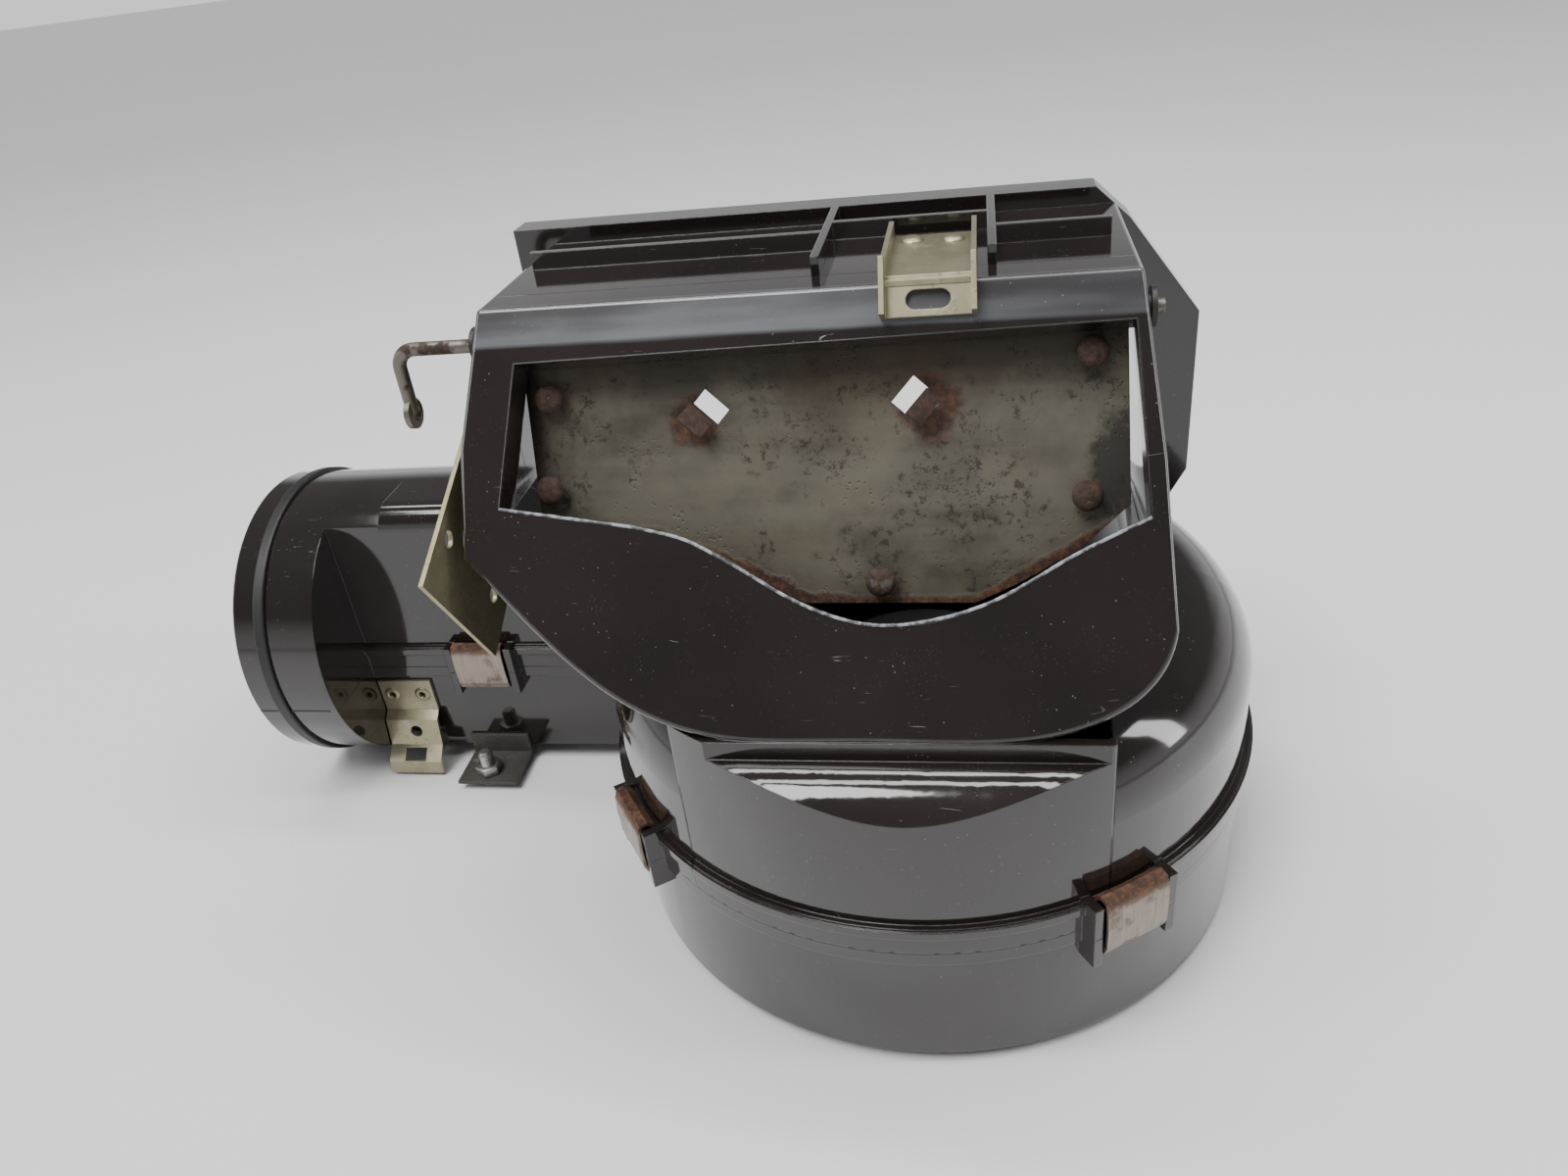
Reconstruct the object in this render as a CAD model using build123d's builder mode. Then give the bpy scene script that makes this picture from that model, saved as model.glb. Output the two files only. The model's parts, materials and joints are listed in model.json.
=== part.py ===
from build123d import *
import os
from math import cos, radians, sin, sqrt

# Scroll blower housing with a flap-controlled intake box.
# Frame: Z is the fan axis, Z = 0 is the underside of the foot ring, the outlet
# duct runs towards -X behind the axis and the sloping intake faces -Y.
os.makedirs("parts", exist_ok=True)

# ---- Casing (mm) ----
wall = 2.5  # moulded wall
drum_r = 90.0  # outer radius of the drum
scroll_end = 60.0  # where the scroll hands over to the duct, along -X
foot_h = 4.0  # foot ring under the drum floor
foot_r = 76.0
foot_w = 4.0
seam_z = 42.0  # parting plane of the two casing halves
drum_top = 93.0
top_round = 22.0  # outer rounding of the drum's top edge
rim_flat = 5.0  # flat of the seam rim on the upper half
rim_bead = 3.5  # bead along the top of that rim
rim_down = 4.0  # seam rim on the lower half
rim_out = 1.2
rim_root = 2.0  # rims and ribs start this far inside the wall
bead_out = 2.2

# ---- Outlet duct and spigot ----
spigot_r = 50.8
scroll_growth = 11.8  # how far the scroll wall swings out behind the drum
spigot_low = 1.3  # Z of the spigot's lowest line
spigot_len = 27.0
duct_flat = 23.0  # spigot axis to the flat front face cut into the round duct
duct_end = 199.0  # end wall behind the flat face, along -X
duct_start = 72.0  # the duct stands above the drum up to here
duct_root = 50.0  # and runs on below the drum top to here
duct_round = 8.0
step_x = 177.0  # the upper shoulder squares up from here towards the drum
ring_x = 215.5  # centre of the seal ring, along -X
ring_w = 4.0
ring_proud = 1.1
ring_groove = 0.8

# ---- Fan inlet, impeller and motor ----
inlet_r = 43.0
inlet_lip = 9.0
fan_r = 70.0
blade_in = 58.0
blade_count = 36
blade_t = 1.5
blade_bulge = 2.2
fan_disc_z = 20.0
fan_disc_t = 2.5
fan_top = 85.0
fan_ring_h = 3.0
fan_ring_in = 63.0
cup_r = 36.0  # foot of the cup that clears the motor
cup_top_r = 33.0
cup_z = 57.0  # top of the cup
hub_r = 8.0
hub_top = 71.0
shaft_r = 3.0
shaft_fit = 0.05
shaft_top = 75.0
can_r = 29.0
can_wall = 1.5
can_top = 49.0
can_gap = 2.0
bearing_r = 8.0
bearing_h = 4.0
plate_t = 1.2  # steel motor plate
plate_r = 46.0
gasket_t = 1.0
gasket_in = 34.0
cap_r = 13.0  # brush carrier in the motor plate
cap_h = 8.0
cap_clear = 0.6  # brush carrier above the ground plane
air_gap = 4.5  # between the magnets and the armature
armature_z = (16.0, 40.0)
commutator_r = 9.0
magnet_t = 5.0
screw_r = 1.5
screw_head_r = 3.2
screw_head_h = 1.2
screw_ring = 40.0
screw_deep = 9.0
boss_r = 4.5
boss_h = 8.0
blade_term = (6.3, 9.0, 0.8)  # flat terminal: width, length, thickness
term_half = 7.0
clip_nut_r = 6.0
clip_nut_h = 1.5

# ---- Intake box ----
tilt = 32.0  # front panel leans back from the vertical
panel_in = 12.0  # foot of the front panel, in from the drum's front
panel_top = 105.0  # height up the sloping panel
split_y = -12.0  # joint between front and rear mouldings
rear_y = 46.0  # back of the rear frame
frame_depth = 10.0
rib_h = 4.5
rib_t = 2.0
lip_deep = 9.0
lip_t = 1.0
box_round = 1.3  # rounding of the box's outer edges
front_left = 56.0  # the drum front carried by the front moulding, towards -X
front_right = 47.0  # and towards +X
front_deep = 30.0  # how far the drum front moulding reaches in
skirt_z = 89.5  # foot of the short skirt
skirt_in = 0.6  # skirt stands in from the foot of the panel
skirt_up = 1.4  # skirt runs up into the box
lens_z = 72.0  # where the drum front starts to round over

# ---- Flap ----
spindle_v = 98.5  # up the panel
spindle_deep = 8.0  # behind the panel's outer face
spindle_r = 1.75
spindle_fit = 0.05
bush_r = 3.2
bush_head_r = 4.6
bush_head = 1.2
rod_right = 59.5
rod_left = 126.0
arm_len = 17.0
arm_bend = 5.0
flap_t = 1.2
flap_open = 8.0  # the flap hangs this far open at rest, degrees
hem_t = 1.2
seal_t = 4.0
seal_inset = 4.0
rivet_r = 1.5
rivet_head = 3.6
rivet_high = 1.3

# ---- Clips and brackets ----
clip_w = 18.0
guide_t = 2.5
guide_gap = 0.6
guide_out = 5.0
guide_h = 9.0
drum_clips = (-145.0, -56.0, 12.0, 62.0)  # round the drum, degrees from +X
duct_clip_x = -153.0
back_clip_x = -62.0
sheet = 1.2  # bracket steel

# ---- Derived places ----
low_z = foot_h
armature_r = can_r - can_wall - magnet_t - air_gap
rim_up = rim_flat + rim_bead
duct_back = drum_r + scroll_growth
spigot_y = duct_back - spigot_r
spigot_z = spigot_low + spigot_r
duct_front = spigot_y - duct_flat
duct_top = max(spigot_z + spigot_r, drum_top)
panel_y = panel_in - drum_r
front_back = front_deep - drum_r
bore_r = spigot_r - wall
slope = radians(tilt)
up_y = sin(slope)
up_z = cos(slope)
panel = Plane(origin=(0, panel_y, drum_top), x_dir=(1, 0, 0), z_dir=(0, -up_z, up_y))
box_top = drum_top + panel_top * up_z
rim_top = box_top + rib_h
axis_y = panel_y + spindle_v * up_y + spindle_deep * up_z
axis_z = drum_top + spindle_v * up_z - spindle_deep * up_y
flap_slope = radians(tilt - flap_open)
flap_plane = Plane(
    origin=(0, axis_y, axis_z),
    x_dir=(1, 0, 0),
    z_dir=(0, -cos(flap_slope), sin(flap_slope)),
)
flap_face = -spindle_r  # front face of the flap plate in its own plane

# Outline of the intake box on the sloping panel: (x, height up the panel).
box_right = ((60.3, 25.6), (58.5, 62.7), (54.4, panel_top))
box_left = ((-100.5, panel_top), (-105.2, 71.0), (-104.8, 44.0))
box_under = (
    (-88.5, 28.0), (-69.0, 11.7), (-49.0, 2.6), (-12.0, 0.5),
    (9.5, 0.3), (38.6, 3.4), (54.0, 12.5),
)
# Opening in the panel.
open_top = ((52.7, 94.2), (-91.0, 91.7), (-95.2, 57.0), (-61.5, 51.8))
open_curve = ((-38.0, 42.5), (-20.3, 32.4), (-2.8, 28.2), (18.5, 32.3), (39.3, 43.5))
open_right = (55.0, 51.0)
# Flap outline in its own plane: (x, height above the spindle).
flap_points = (
    (52.0, 0.0), (52.5, -44.0), (40.6, -54.5), (27.0, -62.0), (17.0, -66.5),
    (-24.0, -66.0), (-39.0, -58.5), (-52.0, -51.0), (-60.0, -48.0),
    (-90.5, -44.0), (-93.5, 0.0),
)
rivet_points = ((-85.5, -14.1), (-86.8, -36.4), (-5.3, -60.6), (42.6, -41.6), (44.0, -9.2))
slot_points = ((-45.6, -17.5, -42.0), (2.4, -16.9, 48.0))
slot_size = (8.0, 4.6)
# Outer outline of the rear frame: (x, z), square at top left, cut at top right.
frame_points = (
    (-111.0, rim_top), (-111.0, 125.0), (-95.0, duct_top + 1.2),
    (-duct_start + 2.0, duct_top + 0.6), (-duct_start + 12.0, drum_top + 1.0),
    (71.0, drum_top + 0.5), (77.0, drum_top + 12.0), (77.0, 152.0),
    (58.0, 178.0), (49.0, rim_top),
)


# ---- Shared outlines ----
def scroll_outline(z, inset):
    """Plan of the drum and its scroll, inset from the outer face."""
    r = drum_r - inset
    reach = r + scroll_growth
    front = duct_front + inset
    tongue = -sqrt(r * r - front * front)
    half = sqrt(0.5)
    with BuildSketch(Plane.XY.offset(z)) as outline:
        with BuildLine():
            ThreePointArc((tongue, front), (0, -r), (r, 0))
            ThreePointArc(
                (r, 0),
                (reach * half - scroll_growth, reach * half),
                (-scroll_growth, reach),
            )
            Polyline((-scroll_growth, reach), (-scroll_end, reach), (tongue, front))
        make_face()
    return outline.sketch


def duct_section(x, inset, square, high=None):
    """Cross-section of the duct: the spigot's circle with a flat cut into its front."""
    r = spigot_r - inset
    front = duct_front + inset
    with BuildSketch(Plane.YZ.offset(-x)) as section:
        with Locations((spigot_y, spigot_z)):
            Circle(r)
        if square:
            with Locations(((front + spigot_y) / 2, spigot_z + r / 2)):
                Rectangle(spigot_y - front, r)
        with Locations((front - spigot_r, spigot_z)):
            Rectangle(2 * spigot_r, 4 * spigot_r, mode=Mode.SUBTRACT)
        fillet(section.vertices().sort_by(Axis.Y)[-2:].sort_by(Axis.X)[0], duct_round - inset)
        if high:
            with Locations((spigot_y, high + spigot_r)):
                Rectangle(4 * spigot_r, 2 * spigot_r, mode=Mode.SUBTRACT)
    return section.sketch


def casing_body(inset):
    """Drum, scroll and duct as one solid, inset from the outer face."""
    with BuildPart() as body:
        extrude(scroll_outline(low_z + inset, inset), amount=drum_top - low_z - 2 * inset)
        top = body.edges().group_by(Axis.Z)[-1]
        rounded = top.filter_by(GeomType.CIRCLE) + top.filter_by(Axis.X)
        fillet(rounded, top_round - inset)
        extrude(duct_section(duct_end - inset, inset, False), amount=duct_end - step_x)
        extrude(
            duct_section(step_x - inset, inset, True),
            amount=step_x - duct_start - 2 * inset,
        )
        extrude(
            duct_section(duct_start + inset, inset, True, drum_top - inset),
            amount=duct_start + inset - duct_root,
        )
    return body.part


def plan_rim(z, out):
    """Plan of the seam rim: a band that stands proud of the casing wall."""
    with BuildSketch(Plane.XY.offset(z)) as rim:
        add(scroll_outline(0, -out))
        with Locations((-(duct_end + duct_start) / 2, (duct_front + duct_back) / 2)):
            Rectangle(duct_end - duct_start, duct_back - duct_front + 2 * out)
        add(scroll_outline(0, rim_root), mode=Mode.SUBTRACT)
        with Locations((-(duct_end + duct_start) / 2, (duct_front + duct_back) / 2)):
            Rectangle(
                duct_end - duct_start,
                duct_back - duct_front - 2 * rim_root,
                mode=Mode.SUBTRACT,
            )
    return rim.sketch


def upper_rim():
    """Seam rim of the upper half, with a rounded bead along its top."""
    edge = 0.6
    layers = (
        (seam_z, rim_flat, rim_out),
        (seam_z + rim_flat, edge, bead_out - edge),
        (seam_z + rim_flat + edge, rim_bead - 2 * edge, bead_out),
        (seam_z + rim_up - edge, edge, bead_out - edge),
    )
    with BuildPart() as rim:
        for z, height, out in layers:
            extrude(plan_rim(z, out), amount=height)
    return rim.part


def clip_planes():
    """One plane for each casing clip: local X points outward, local Y is up."""
    places = []
    for angle in drum_clips:
        a = radians(angle)
        if angle > 0:
            reach = drum_r + scroll_growth
            centre = -scroll_growth
        else:
            reach = drum_r
            centre = 0.0
        foot = (centre + reach * cos(a), reach * sin(a), 0)
        places.append(Plane(origin=foot, x_dir=(cos(a), sin(a), 0), z_dir=(sin(a), -cos(a), 0)))
    places.append(Plane(origin=(duct_clip_x, duct_front, 0), x_dir=(0, -1, 0), z_dir=(-1, 0, 0)))
    places.append(Plane(origin=(back_clip_x, duct_back, 0), x_dir=(0, 1, 0), z_dir=(1, 0, 0)))
    return places


def clip_guides(low, high):
    """Pairs of moulded guide ribs beside each casing clip."""
    side = clip_w / 2 + guide_gap
    with BuildPart() as guides:
        for place in clip_planes():
            for start in (side, -side - guide_t):
                with BuildSketch(place.offset(start)):
                    with Locations(((guide_out - rim_root) / 2, (low + high) / 2)):
                        Rectangle(guide_out + rim_root, high - low)
                extrude(amount=guide_t)
    return guides.part


def inset_loop(points, amount):
    """Move each point of a closed clockwise loop inward, square to its two sides."""
    moved = []
    for before, here, after in zip(points[-1:] + points[:-1], points, points[1:] + points[:1]):
        into = (Vector(*here) - Vector(*before)).normalized()
        away = (Vector(*after) - Vector(*here)).normalized()
        square = Vector(into.Y + away.Y, -into.X - away.X)
        reach = amount * 2 / (square.length * square.length)
        moved.append((here[0] + square.X * reach, here[1] + square.Y * reach))
    return moved


def box_outline(inset, depth=0):
    """Intake box outline on the sloping panel, inset from the outer face."""
    loop = list(reversed(box_right)) + list(reversed(box_under)) + list(reversed(box_left))
    loop = inset_loop(loop, inset)
    right = loop[: len(box_right)]
    under = loop[len(box_right) - 1 : -len(box_left) + 1]
    left = loop[-len(box_left) :]
    with BuildSketch(panel.offset(-depth)) as outline:
        with BuildLine():
            Polyline(right)
            Spline(under)
            Polyline(*left, right[0])
        make_face()
    return outline.sketch


def opening_outline(grow):
    """Panel opening, optionally grown outward for the lip."""
    loop = [open_right] + list(reversed(open_curve)) + list(reversed(open_top))
    loop = inset_loop(loop, -grow)
    curve = loop[: len(open_curve) + 2]
    rest = loop[len(open_curve) + 1 :]
    with BuildSketch(panel) as outline:
        with BuildLine():
            Spline(curve)
            Polyline(*rest, loop[0])
        make_face()
    return outline.sketch


def box_prism(inset):
    """The box outline run straight back along Y, well past the rear frame."""
    with BuildPart() as prism:
        extrude(box_outline(inset, inset), amount=2 * rear_y - panel_y, dir=(0, 1, 0))
        corners = prism.edges().filter_by(Axis.Y).group_by(Axis.Z)[-1]
        if inset < box_round:
            front = prism.faces().sort_by(Axis.Y)[0].edges()
            fillet(corners + front if inset == 0 else corners, box_round - inset)
    return prism.part


def slab(y_from, y_to):
    """A large block between two Y planes, for cutting mouldings to length."""
    with BuildPart() as block:
        with BuildSketch(Plane.XZ.offset(-y_from)):
            with Locations((0, drum_top)):
                Rectangle(4 * drum_r, 4 * drum_r)
        extrude(amount=-(y_to - y_from))
    return block.part


def front_zone():
    """Block that marks the piece of drum wall carried by the front moulding."""
    with BuildPart() as zone:
        with BuildSketch(Plane.XY.offset(seam_z)):
            with Locations(((front_right - front_left) / 2, (front_back - drum_r - guide_out) / 2)):
                Rectangle(front_left + front_right, drum_r + guide_out + front_back)
        extrude(amount=drum_top - seam_z)
    return zone.part


def front_profile(inset):
    """Side profile of the drum front: upright, rounded over, then the skirt."""
    outer = -drum_r - bead_out + inset
    skirt = panel_y + skirt_in + inset
    with BuildSketch(Plane.YZ.offset(-front_left)) as profile:
        with BuildLine():
            Line((outer, seam_z), (outer, lens_z - inset))
            rise = skirt_z - lens_z
            Bezier(
                (outer, lens_z - inset),
                (outer, lens_z - inset + 0.55 * rise),
                (skirt + 0.55 * (outer - skirt), skirt_z - inset),
                (skirt, skirt_z - inset),
            )
            Polyline(
                (skirt, skirt_z - inset),
                (skirt, drum_top + wall),
                (front_back, drum_top + wall),
                (front_back, seam_z),
                (outer, seam_z),
            )
        make_face()
    return profile.sketch


casing_outer = casing_body(0)
casing_inner = casing_body(wall)

# ---- Lower casing half: drum floor, foot ring, lower half of duct and spigot ----
screw_spots = PolarLocations(screw_ring, 3)
spigot_plane = Plane.YZ.offset(-duct_end - spigot_len)


def spigot_profile():
    """Half profile of the spigot tube with its ring groove, ready to revolve."""
    groove = ring_w / 2
    with BuildSketch(Plane.XY) as profile:
        with BuildLine():
            Polyline(
                (-duct_end + wall, 0),
                (-duct_end + wall, spigot_r),
                (-ring_x + groove, spigot_r),
                (-ring_x + groove, spigot_r - ring_groove),
                (-ring_x - groove, spigot_r - ring_groove),
                (-ring_x - groove, spigot_r),
                (-duct_end - spigot_len + 1, spigot_r),
                (-duct_end - spigot_len, spigot_r - 1),
                (-duct_end - spigot_len, 0),
                close=True,
            )
        make_face()
    return profile.sketch


with BuildPart() as spigot_tool:
    revolve(spigot_profile(), axis=Axis.X)
spigot_solid = spigot_tool.part.moved(Location((0, spigot_y, spigot_z)))

with BuildPart() as bore_mouth:
    extrude(duct_section(duct_end + 0.5, wall, False), amount=wall + 1)

with BuildPart() as casing_shell:
    add(casing_outer)
    add(spigot_solid)
    add(casing_inner, mode=Mode.SUBTRACT)
    with BuildSketch(spigot_plane):
        with Locations((spigot_y, spigot_z)):
            Circle(bore_r)
    extrude(amount=spigot_len, mode=Mode.SUBTRACT)
    add(bore_mouth.part, mode=Mode.SUBTRACT)

with BuildPart() as lower_scroll_casing:
    add(casing_shell.part)
    split(bisect_by=Plane.XY.offset(seam_z), keep=Keep.BOTTOM)
    extrude(plan_rim(seam_z - rim_down, rim_out), amount=rim_down)
    add(clip_guides(seam_z - guide_h, seam_z))
    with BuildSketch(Plane.XY):
        Circle(foot_r)
        Circle(foot_r - foot_w, mode=Mode.SUBTRACT)
    extrude(amount=foot_h)
    with BuildSketch(Plane.XY.offset(foot_h)):
        with screw_spots:
            Circle(boss_r)
    extrude(amount=wall + boss_h)
    with BuildSketch(Plane.XY.offset(foot_h)):
        Circle(can_r + can_gap)
        with screw_spots:
            Circle(screw_r)
    extrude(amount=wall + boss_h, mode=Mode.SUBTRACT)
    with BuildSketch(Plane.XY.offset(-1)):
        with Locations((foot_r, 0)):
            Rectangle(3 * foot_w, 4 * term_half)
    extrude(amount=foot_h + 1, mode=Mode.SUBTRACT)

with BuildPart() as seam_rim:
    add(upper_rim())
    add(clip_guides(seam_z, seam_z + rim_up + 1))

# ---- Upper casing half: drum top with the fan inlet, upper half of the duct ----
with BuildPart() as upper_scroll_casing:
    add(casing_shell.part)
    split(bisect_by=Plane.XY.offset(seam_z), keep=Keep.TOP)
    add(seam_rim.part)
    with BuildSketch(Plane.XY.offset(drum_top - inlet_lip)):
        Circle(inlet_r + wall)
    extrude(amount=inlet_lip)
    with BuildSketch(Plane.XY.offset(drum_top - inlet_lip)):
        Circle(inlet_r)
    extrude(amount=inlet_lip, mode=Mode.SUBTRACT)
    add(front_zone(), mode=Mode.SUBTRACT)

# ---- Front moulding: sloping panel, opening lip, skirt and front of the drum ----
with BuildPart() as front_wall_cut:
    with BuildSketch(Plane.XY.offset(seam_z)):
        Circle(drum_r - wall)
    extrude(amount=drum_top - seam_z + wall)
    extrude(front_profile(wall), amount=front_left + front_right, mode=Mode.INTERSECT)

with BuildPart() as front_wall:
    with BuildSketch(Plane.XY.offset(seam_z)):
        Circle(drum_r)
    extrude(amount=drum_top - seam_z + skirt_up)
    extrude(front_profile(0), amount=front_left + front_right, mode=Mode.INTERSECT)
    add(front_wall_cut.part, mode=Mode.SUBTRACT)

with BuildPart() as front_rim:
    add(seam_rim.part)
    add(front_zone(), mode=Mode.INTERSECT)

with BuildPart() as bush_holes:
    with BuildSketch(Plane.YZ.offset(-rod_left)):
        with Locations((axis_y, axis_z)):
            Circle(bush_r)
    extrude(amount=rod_left + rod_right)

with BuildPart() as inlet_collar:
    with BuildSketch(Plane.XY.offset(drum_top)):
        Circle(inlet_r + wall)
    extrude(amount=wall)

with BuildPart() as intake_front_moulding:
    add(box_prism(0))
    add(box_prism(wall), mode=Mode.SUBTRACT)
    add(inlet_collar.part)
    extrude(opening_outline(lip_t), amount=-lip_deep)
    add(slab(split_y, 4 * rear_y), mode=Mode.SUBTRACT)
    extrude(opening_outline(0), amount=-2 * lip_deep, mode=Mode.SUBTRACT)
    add(front_wall.part)
    add(front_rim.part)
    with BuildSketch(Plane.XY.offset(drum_top - wall)):
        Circle(inlet_r)
    extrude(amount=5 * wall, mode=Mode.SUBTRACT)
    add(bush_holes.part, mode=Mode.SUBTRACT)

# ---- Top bracket sizes ----
top_x = (-3.0, 18.5)
top_long = 36.0
top_flange = 5.0
hook_drop = 8.0
hook_slot = 4.2  # slot centre below the panel's top edge
panel_edge_y = panel_y + panel_top * up_y
top_mid = (top_x[0] + top_x[1]) / 2
top_w = top_x[1] - top_x[0]
top_rivets = ((top_mid - 5.0, panel_edge_y + top_long - 5), (top_mid + 5.0, panel_edge_y + top_long - 6))
hook_gap = 0.3

# ---- Rear moulding: back of the box, ribs on top and the flared rear frame ----
act_screws = ((2.0, 148.0), (2.0, 132.0))
act_boss = 4.0
act_x = min(x for x, v in box_left) - act_boss


def frame_outline(y, inset):
    """Rear frame outline on a plane square to Y."""
    with BuildSketch(Plane.XZ.offset(-y)) as outline:
        with BuildLine():
            Polyline(frame_points, close=True)
        make_face()
        if inset:
            offset(amount=-inset, kind=Kind.INTERSECTION, mode=Mode.REPLACE)
    return outline.sketch


rib_runs = (
    (-96.0, -19.0, 11.0),
    (-19.0, 22.0, 20.0),
    (22.0, 49.0, 6.0),
)
cross_runs = ((-19.0, split_y), (22.0, split_y))

with BuildPart() as intake_rear_moulding:
    add(box_prism(0))
    add(inlet_collar.part)
    add(slab(2 * panel_y, split_y), mode=Mode.SUBTRACT)
    extrude(frame_outline(rear_y - frame_depth, 0), amount=-frame_depth)
    extrude(frame_outline(rear_y - frame_depth + wall, wall), amount=-frame_depth, mode=Mode.SUBTRACT)
    add(slab(rear_y, 4 * rear_y), mode=Mode.SUBTRACT)
    for x_from, x_to, rib_y in rib_runs:
        with BuildSketch(Plane.XY.offset(box_top - wall)):
            with Locations(((x_from + x_to) / 2, rib_y)):
                Rectangle(x_to - x_from + rib_t, rib_t)
        extrude(amount=wall + rib_h)
    for rib_x, y_from in cross_runs:
        with BuildSketch(Plane.XY.offset(box_top - wall)):
            with Locations((rib_x, (y_from + rear_y - frame_depth) / 2)):
                Rectangle(rib_t, rear_y - frame_depth - y_from)
        extrude(amount=wall + rib_h)
    with BuildSketch(Plane.YZ.offset(act_x)):
        with Locations(*act_screws):
            Circle(act_boss)
    extrude(amount=act_boss + wall)
    add(box_prism(wall), mode=Mode.SUBTRACT)
    with BuildSketch(Plane.XY.offset(drum_top - wall)):
        Circle(inlet_r)
    extrude(amount=5 * wall, mode=Mode.SUBTRACT)
    with BuildSketch(Plane.YZ.offset(act_x)):
        with Locations(*act_screws):
            Circle(screw_r)
    extrude(amount=2 * act_boss + wall, mode=Mode.SUBTRACT)
    with BuildSketch(Plane.XY.offset(box_top - 2 * wall)):
        with Locations(*top_rivets):
            Circle(rivet_r)
    extrude(amount=2 * wall, mode=Mode.SUBTRACT)

# ---- Seal ring on the spigot ----
with BuildPart() as spigot_seal_ring:
    with BuildSketch(Plane.YZ.offset(-ring_x - ring_w / 2)):
        with Locations((spigot_y, spigot_z)):
            Circle(spigot_r + ring_proud)
            Circle(spigot_r - ring_groove, mode=Mode.SUBTRACT)
    extrude(amount=ring_w)
    fillet(spigot_seal_ring.edges().filter_by(GeomType.CIRCLE).group_by(SortBy.LENGTH)[-1], 0.7)

# ---- Flap: plate with a rolled hem, seal pad, rivets ----
with BuildPart() as flap_plate:
    with BuildSketch(flap_plane.offset(flap_face - flap_t)):
        with BuildLine():
            Polyline(flap_points, close=True)
        make_face()
        for slot_x, slot_y, turn in slot_points:
            with Locations(Location((slot_x, slot_y), turn)):
                Rectangle(*slot_size, mode=Mode.SUBTRACT)
    extrude(amount=flap_t)
    with BuildSketch(Plane.YZ.offset(flap_points[-1][0])):
        with Locations((axis_y, axis_z)):
            Circle(spindle_r + hem_t)
    extrude(amount=flap_points[0][0] - flap_points[-1][0])
    with BuildSketch(Plane.YZ.offset(-rod_left)):
        with Locations((axis_y, axis_z)):
            Circle(spindle_r)
    extrude(amount=rod_left + rod_right, mode=Mode.SUBTRACT)

with BuildPart() as flap_seal:
    with BuildSketch(flap_plane.offset(flap_face - flap_t - seal_t)):
        with BuildLine():
            Polyline(flap_points, close=True)
        make_face()
        offset(amount=-seal_inset, mode=Mode.REPLACE)
        for slot_x, slot_y, turn in slot_points:
            with Locations(Location((slot_x, slot_y), turn)):
                Rectangle(slot_size[0] + 3, slot_size[1] + 3, mode=Mode.SUBTRACT)
        with Locations(*rivet_points):
            Circle(rivet_r, mode=Mode.SUBTRACT)
    extrude(amount=seal_t)

with BuildPart() as flap_rivets:
    with BuildSketch(flap_plane.offset(flap_face)):
        with Locations(*rivet_points):
            Circle(rivet_head)
    extrude(amount=rivet_high, taper=35)
    with BuildSketch(flap_plane.offset(flap_face)):
        with Locations(*rivet_points):
            Circle(rivet_r)
    extrude(amount=-flap_t - seal_t - 1)
    with BuildSketch(flap_plane.offset(flap_face - flap_t - seal_t)):
        with Locations(*rivet_points):
            Circle(rivet_head)
    extrude(amount=-1)

with BuildPart() as flap_rivet_holes:
    with BuildSketch(flap_plane.offset(flap_face - flap_t)):
        with Locations(*rivet_points):
            Circle(rivet_r)
    extrude(amount=flap_t)
with BuildPart() as flap_plate_drilled:
    add(flap_plate.part)
    add(flap_rivet_holes.part, mode=Mode.SUBTRACT)

# ---- Spindle with its cranked operating arm, and the two bushes ----
with BuildPart() as flap_spindle:
    with BuildLine() as rod_path:
        FilletPolyline(
            (rod_right, axis_y, axis_z),
            (-rod_left, axis_y, axis_z),
            (-rod_left, axis_y, axis_z - arm_len),
            radius=arm_bend,
        )
    with BuildSketch(Plane(origin=rod_path.line @ 0, z_dir=rod_path.line % 0)):
        Circle(spindle_r)
    sweep()
    with BuildSketch(Plane.YZ.offset(-rod_left - 0.75)):
        with Locations((axis_y, axis_z - arm_len)):
            Circle(4.0)
    extrude(amount=1.5)
    with BuildSketch(Plane.YZ.offset(-rod_left - spindle_r)):
        with Locations((axis_y, axis_z - arm_len - 0.8)):
            Circle(1.3)
    extrude(amount=2 * spindle_r, mode=Mode.SUBTRACT)


def side_x(points, height):
    """X of a box side at a height up the panel, by straight lines."""
    for (x0, v0), (x1, v1) in zip(points, points[1:]):
        if min(v0, v1) <= height <= max(v0, v1):
            return x0 + (x1 - x0) * (height - v0) / (v1 - v0)
    return points[-1][0]


spindle_height = (axis_z - drum_top) / up_z
left_x = side_x(box_left, spindle_height)
right_x = side_x(box_right, spindle_height)
bush_slack = 0.8
with BuildPart() as spindle_bushes:
    for inner_x, outward in ((left_x, -1), (right_x, 1)):
        with BuildSketch(Plane.YZ.offset(inner_x - outward * (wall + 0.2))):
            with Locations((axis_y, axis_z)):
                Circle(bush_r)
        extrude(amount=outward * (wall + 0.2 + bush_slack))
        with BuildSketch(Plane.YZ.offset(inner_x + outward * bush_slack)):
            with Locations((axis_y, axis_z)):
                Circle(bush_head_r)
        extrude(amount=outward * bush_head)
    with BuildSketch(Plane.YZ.offset(-rod_left)):
        with Locations((axis_y, axis_z)):
            Circle(spindle_r + spindle_fit)
    extrude(amount=rod_left + rod_right, mode=Mode.SUBTRACT)

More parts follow.
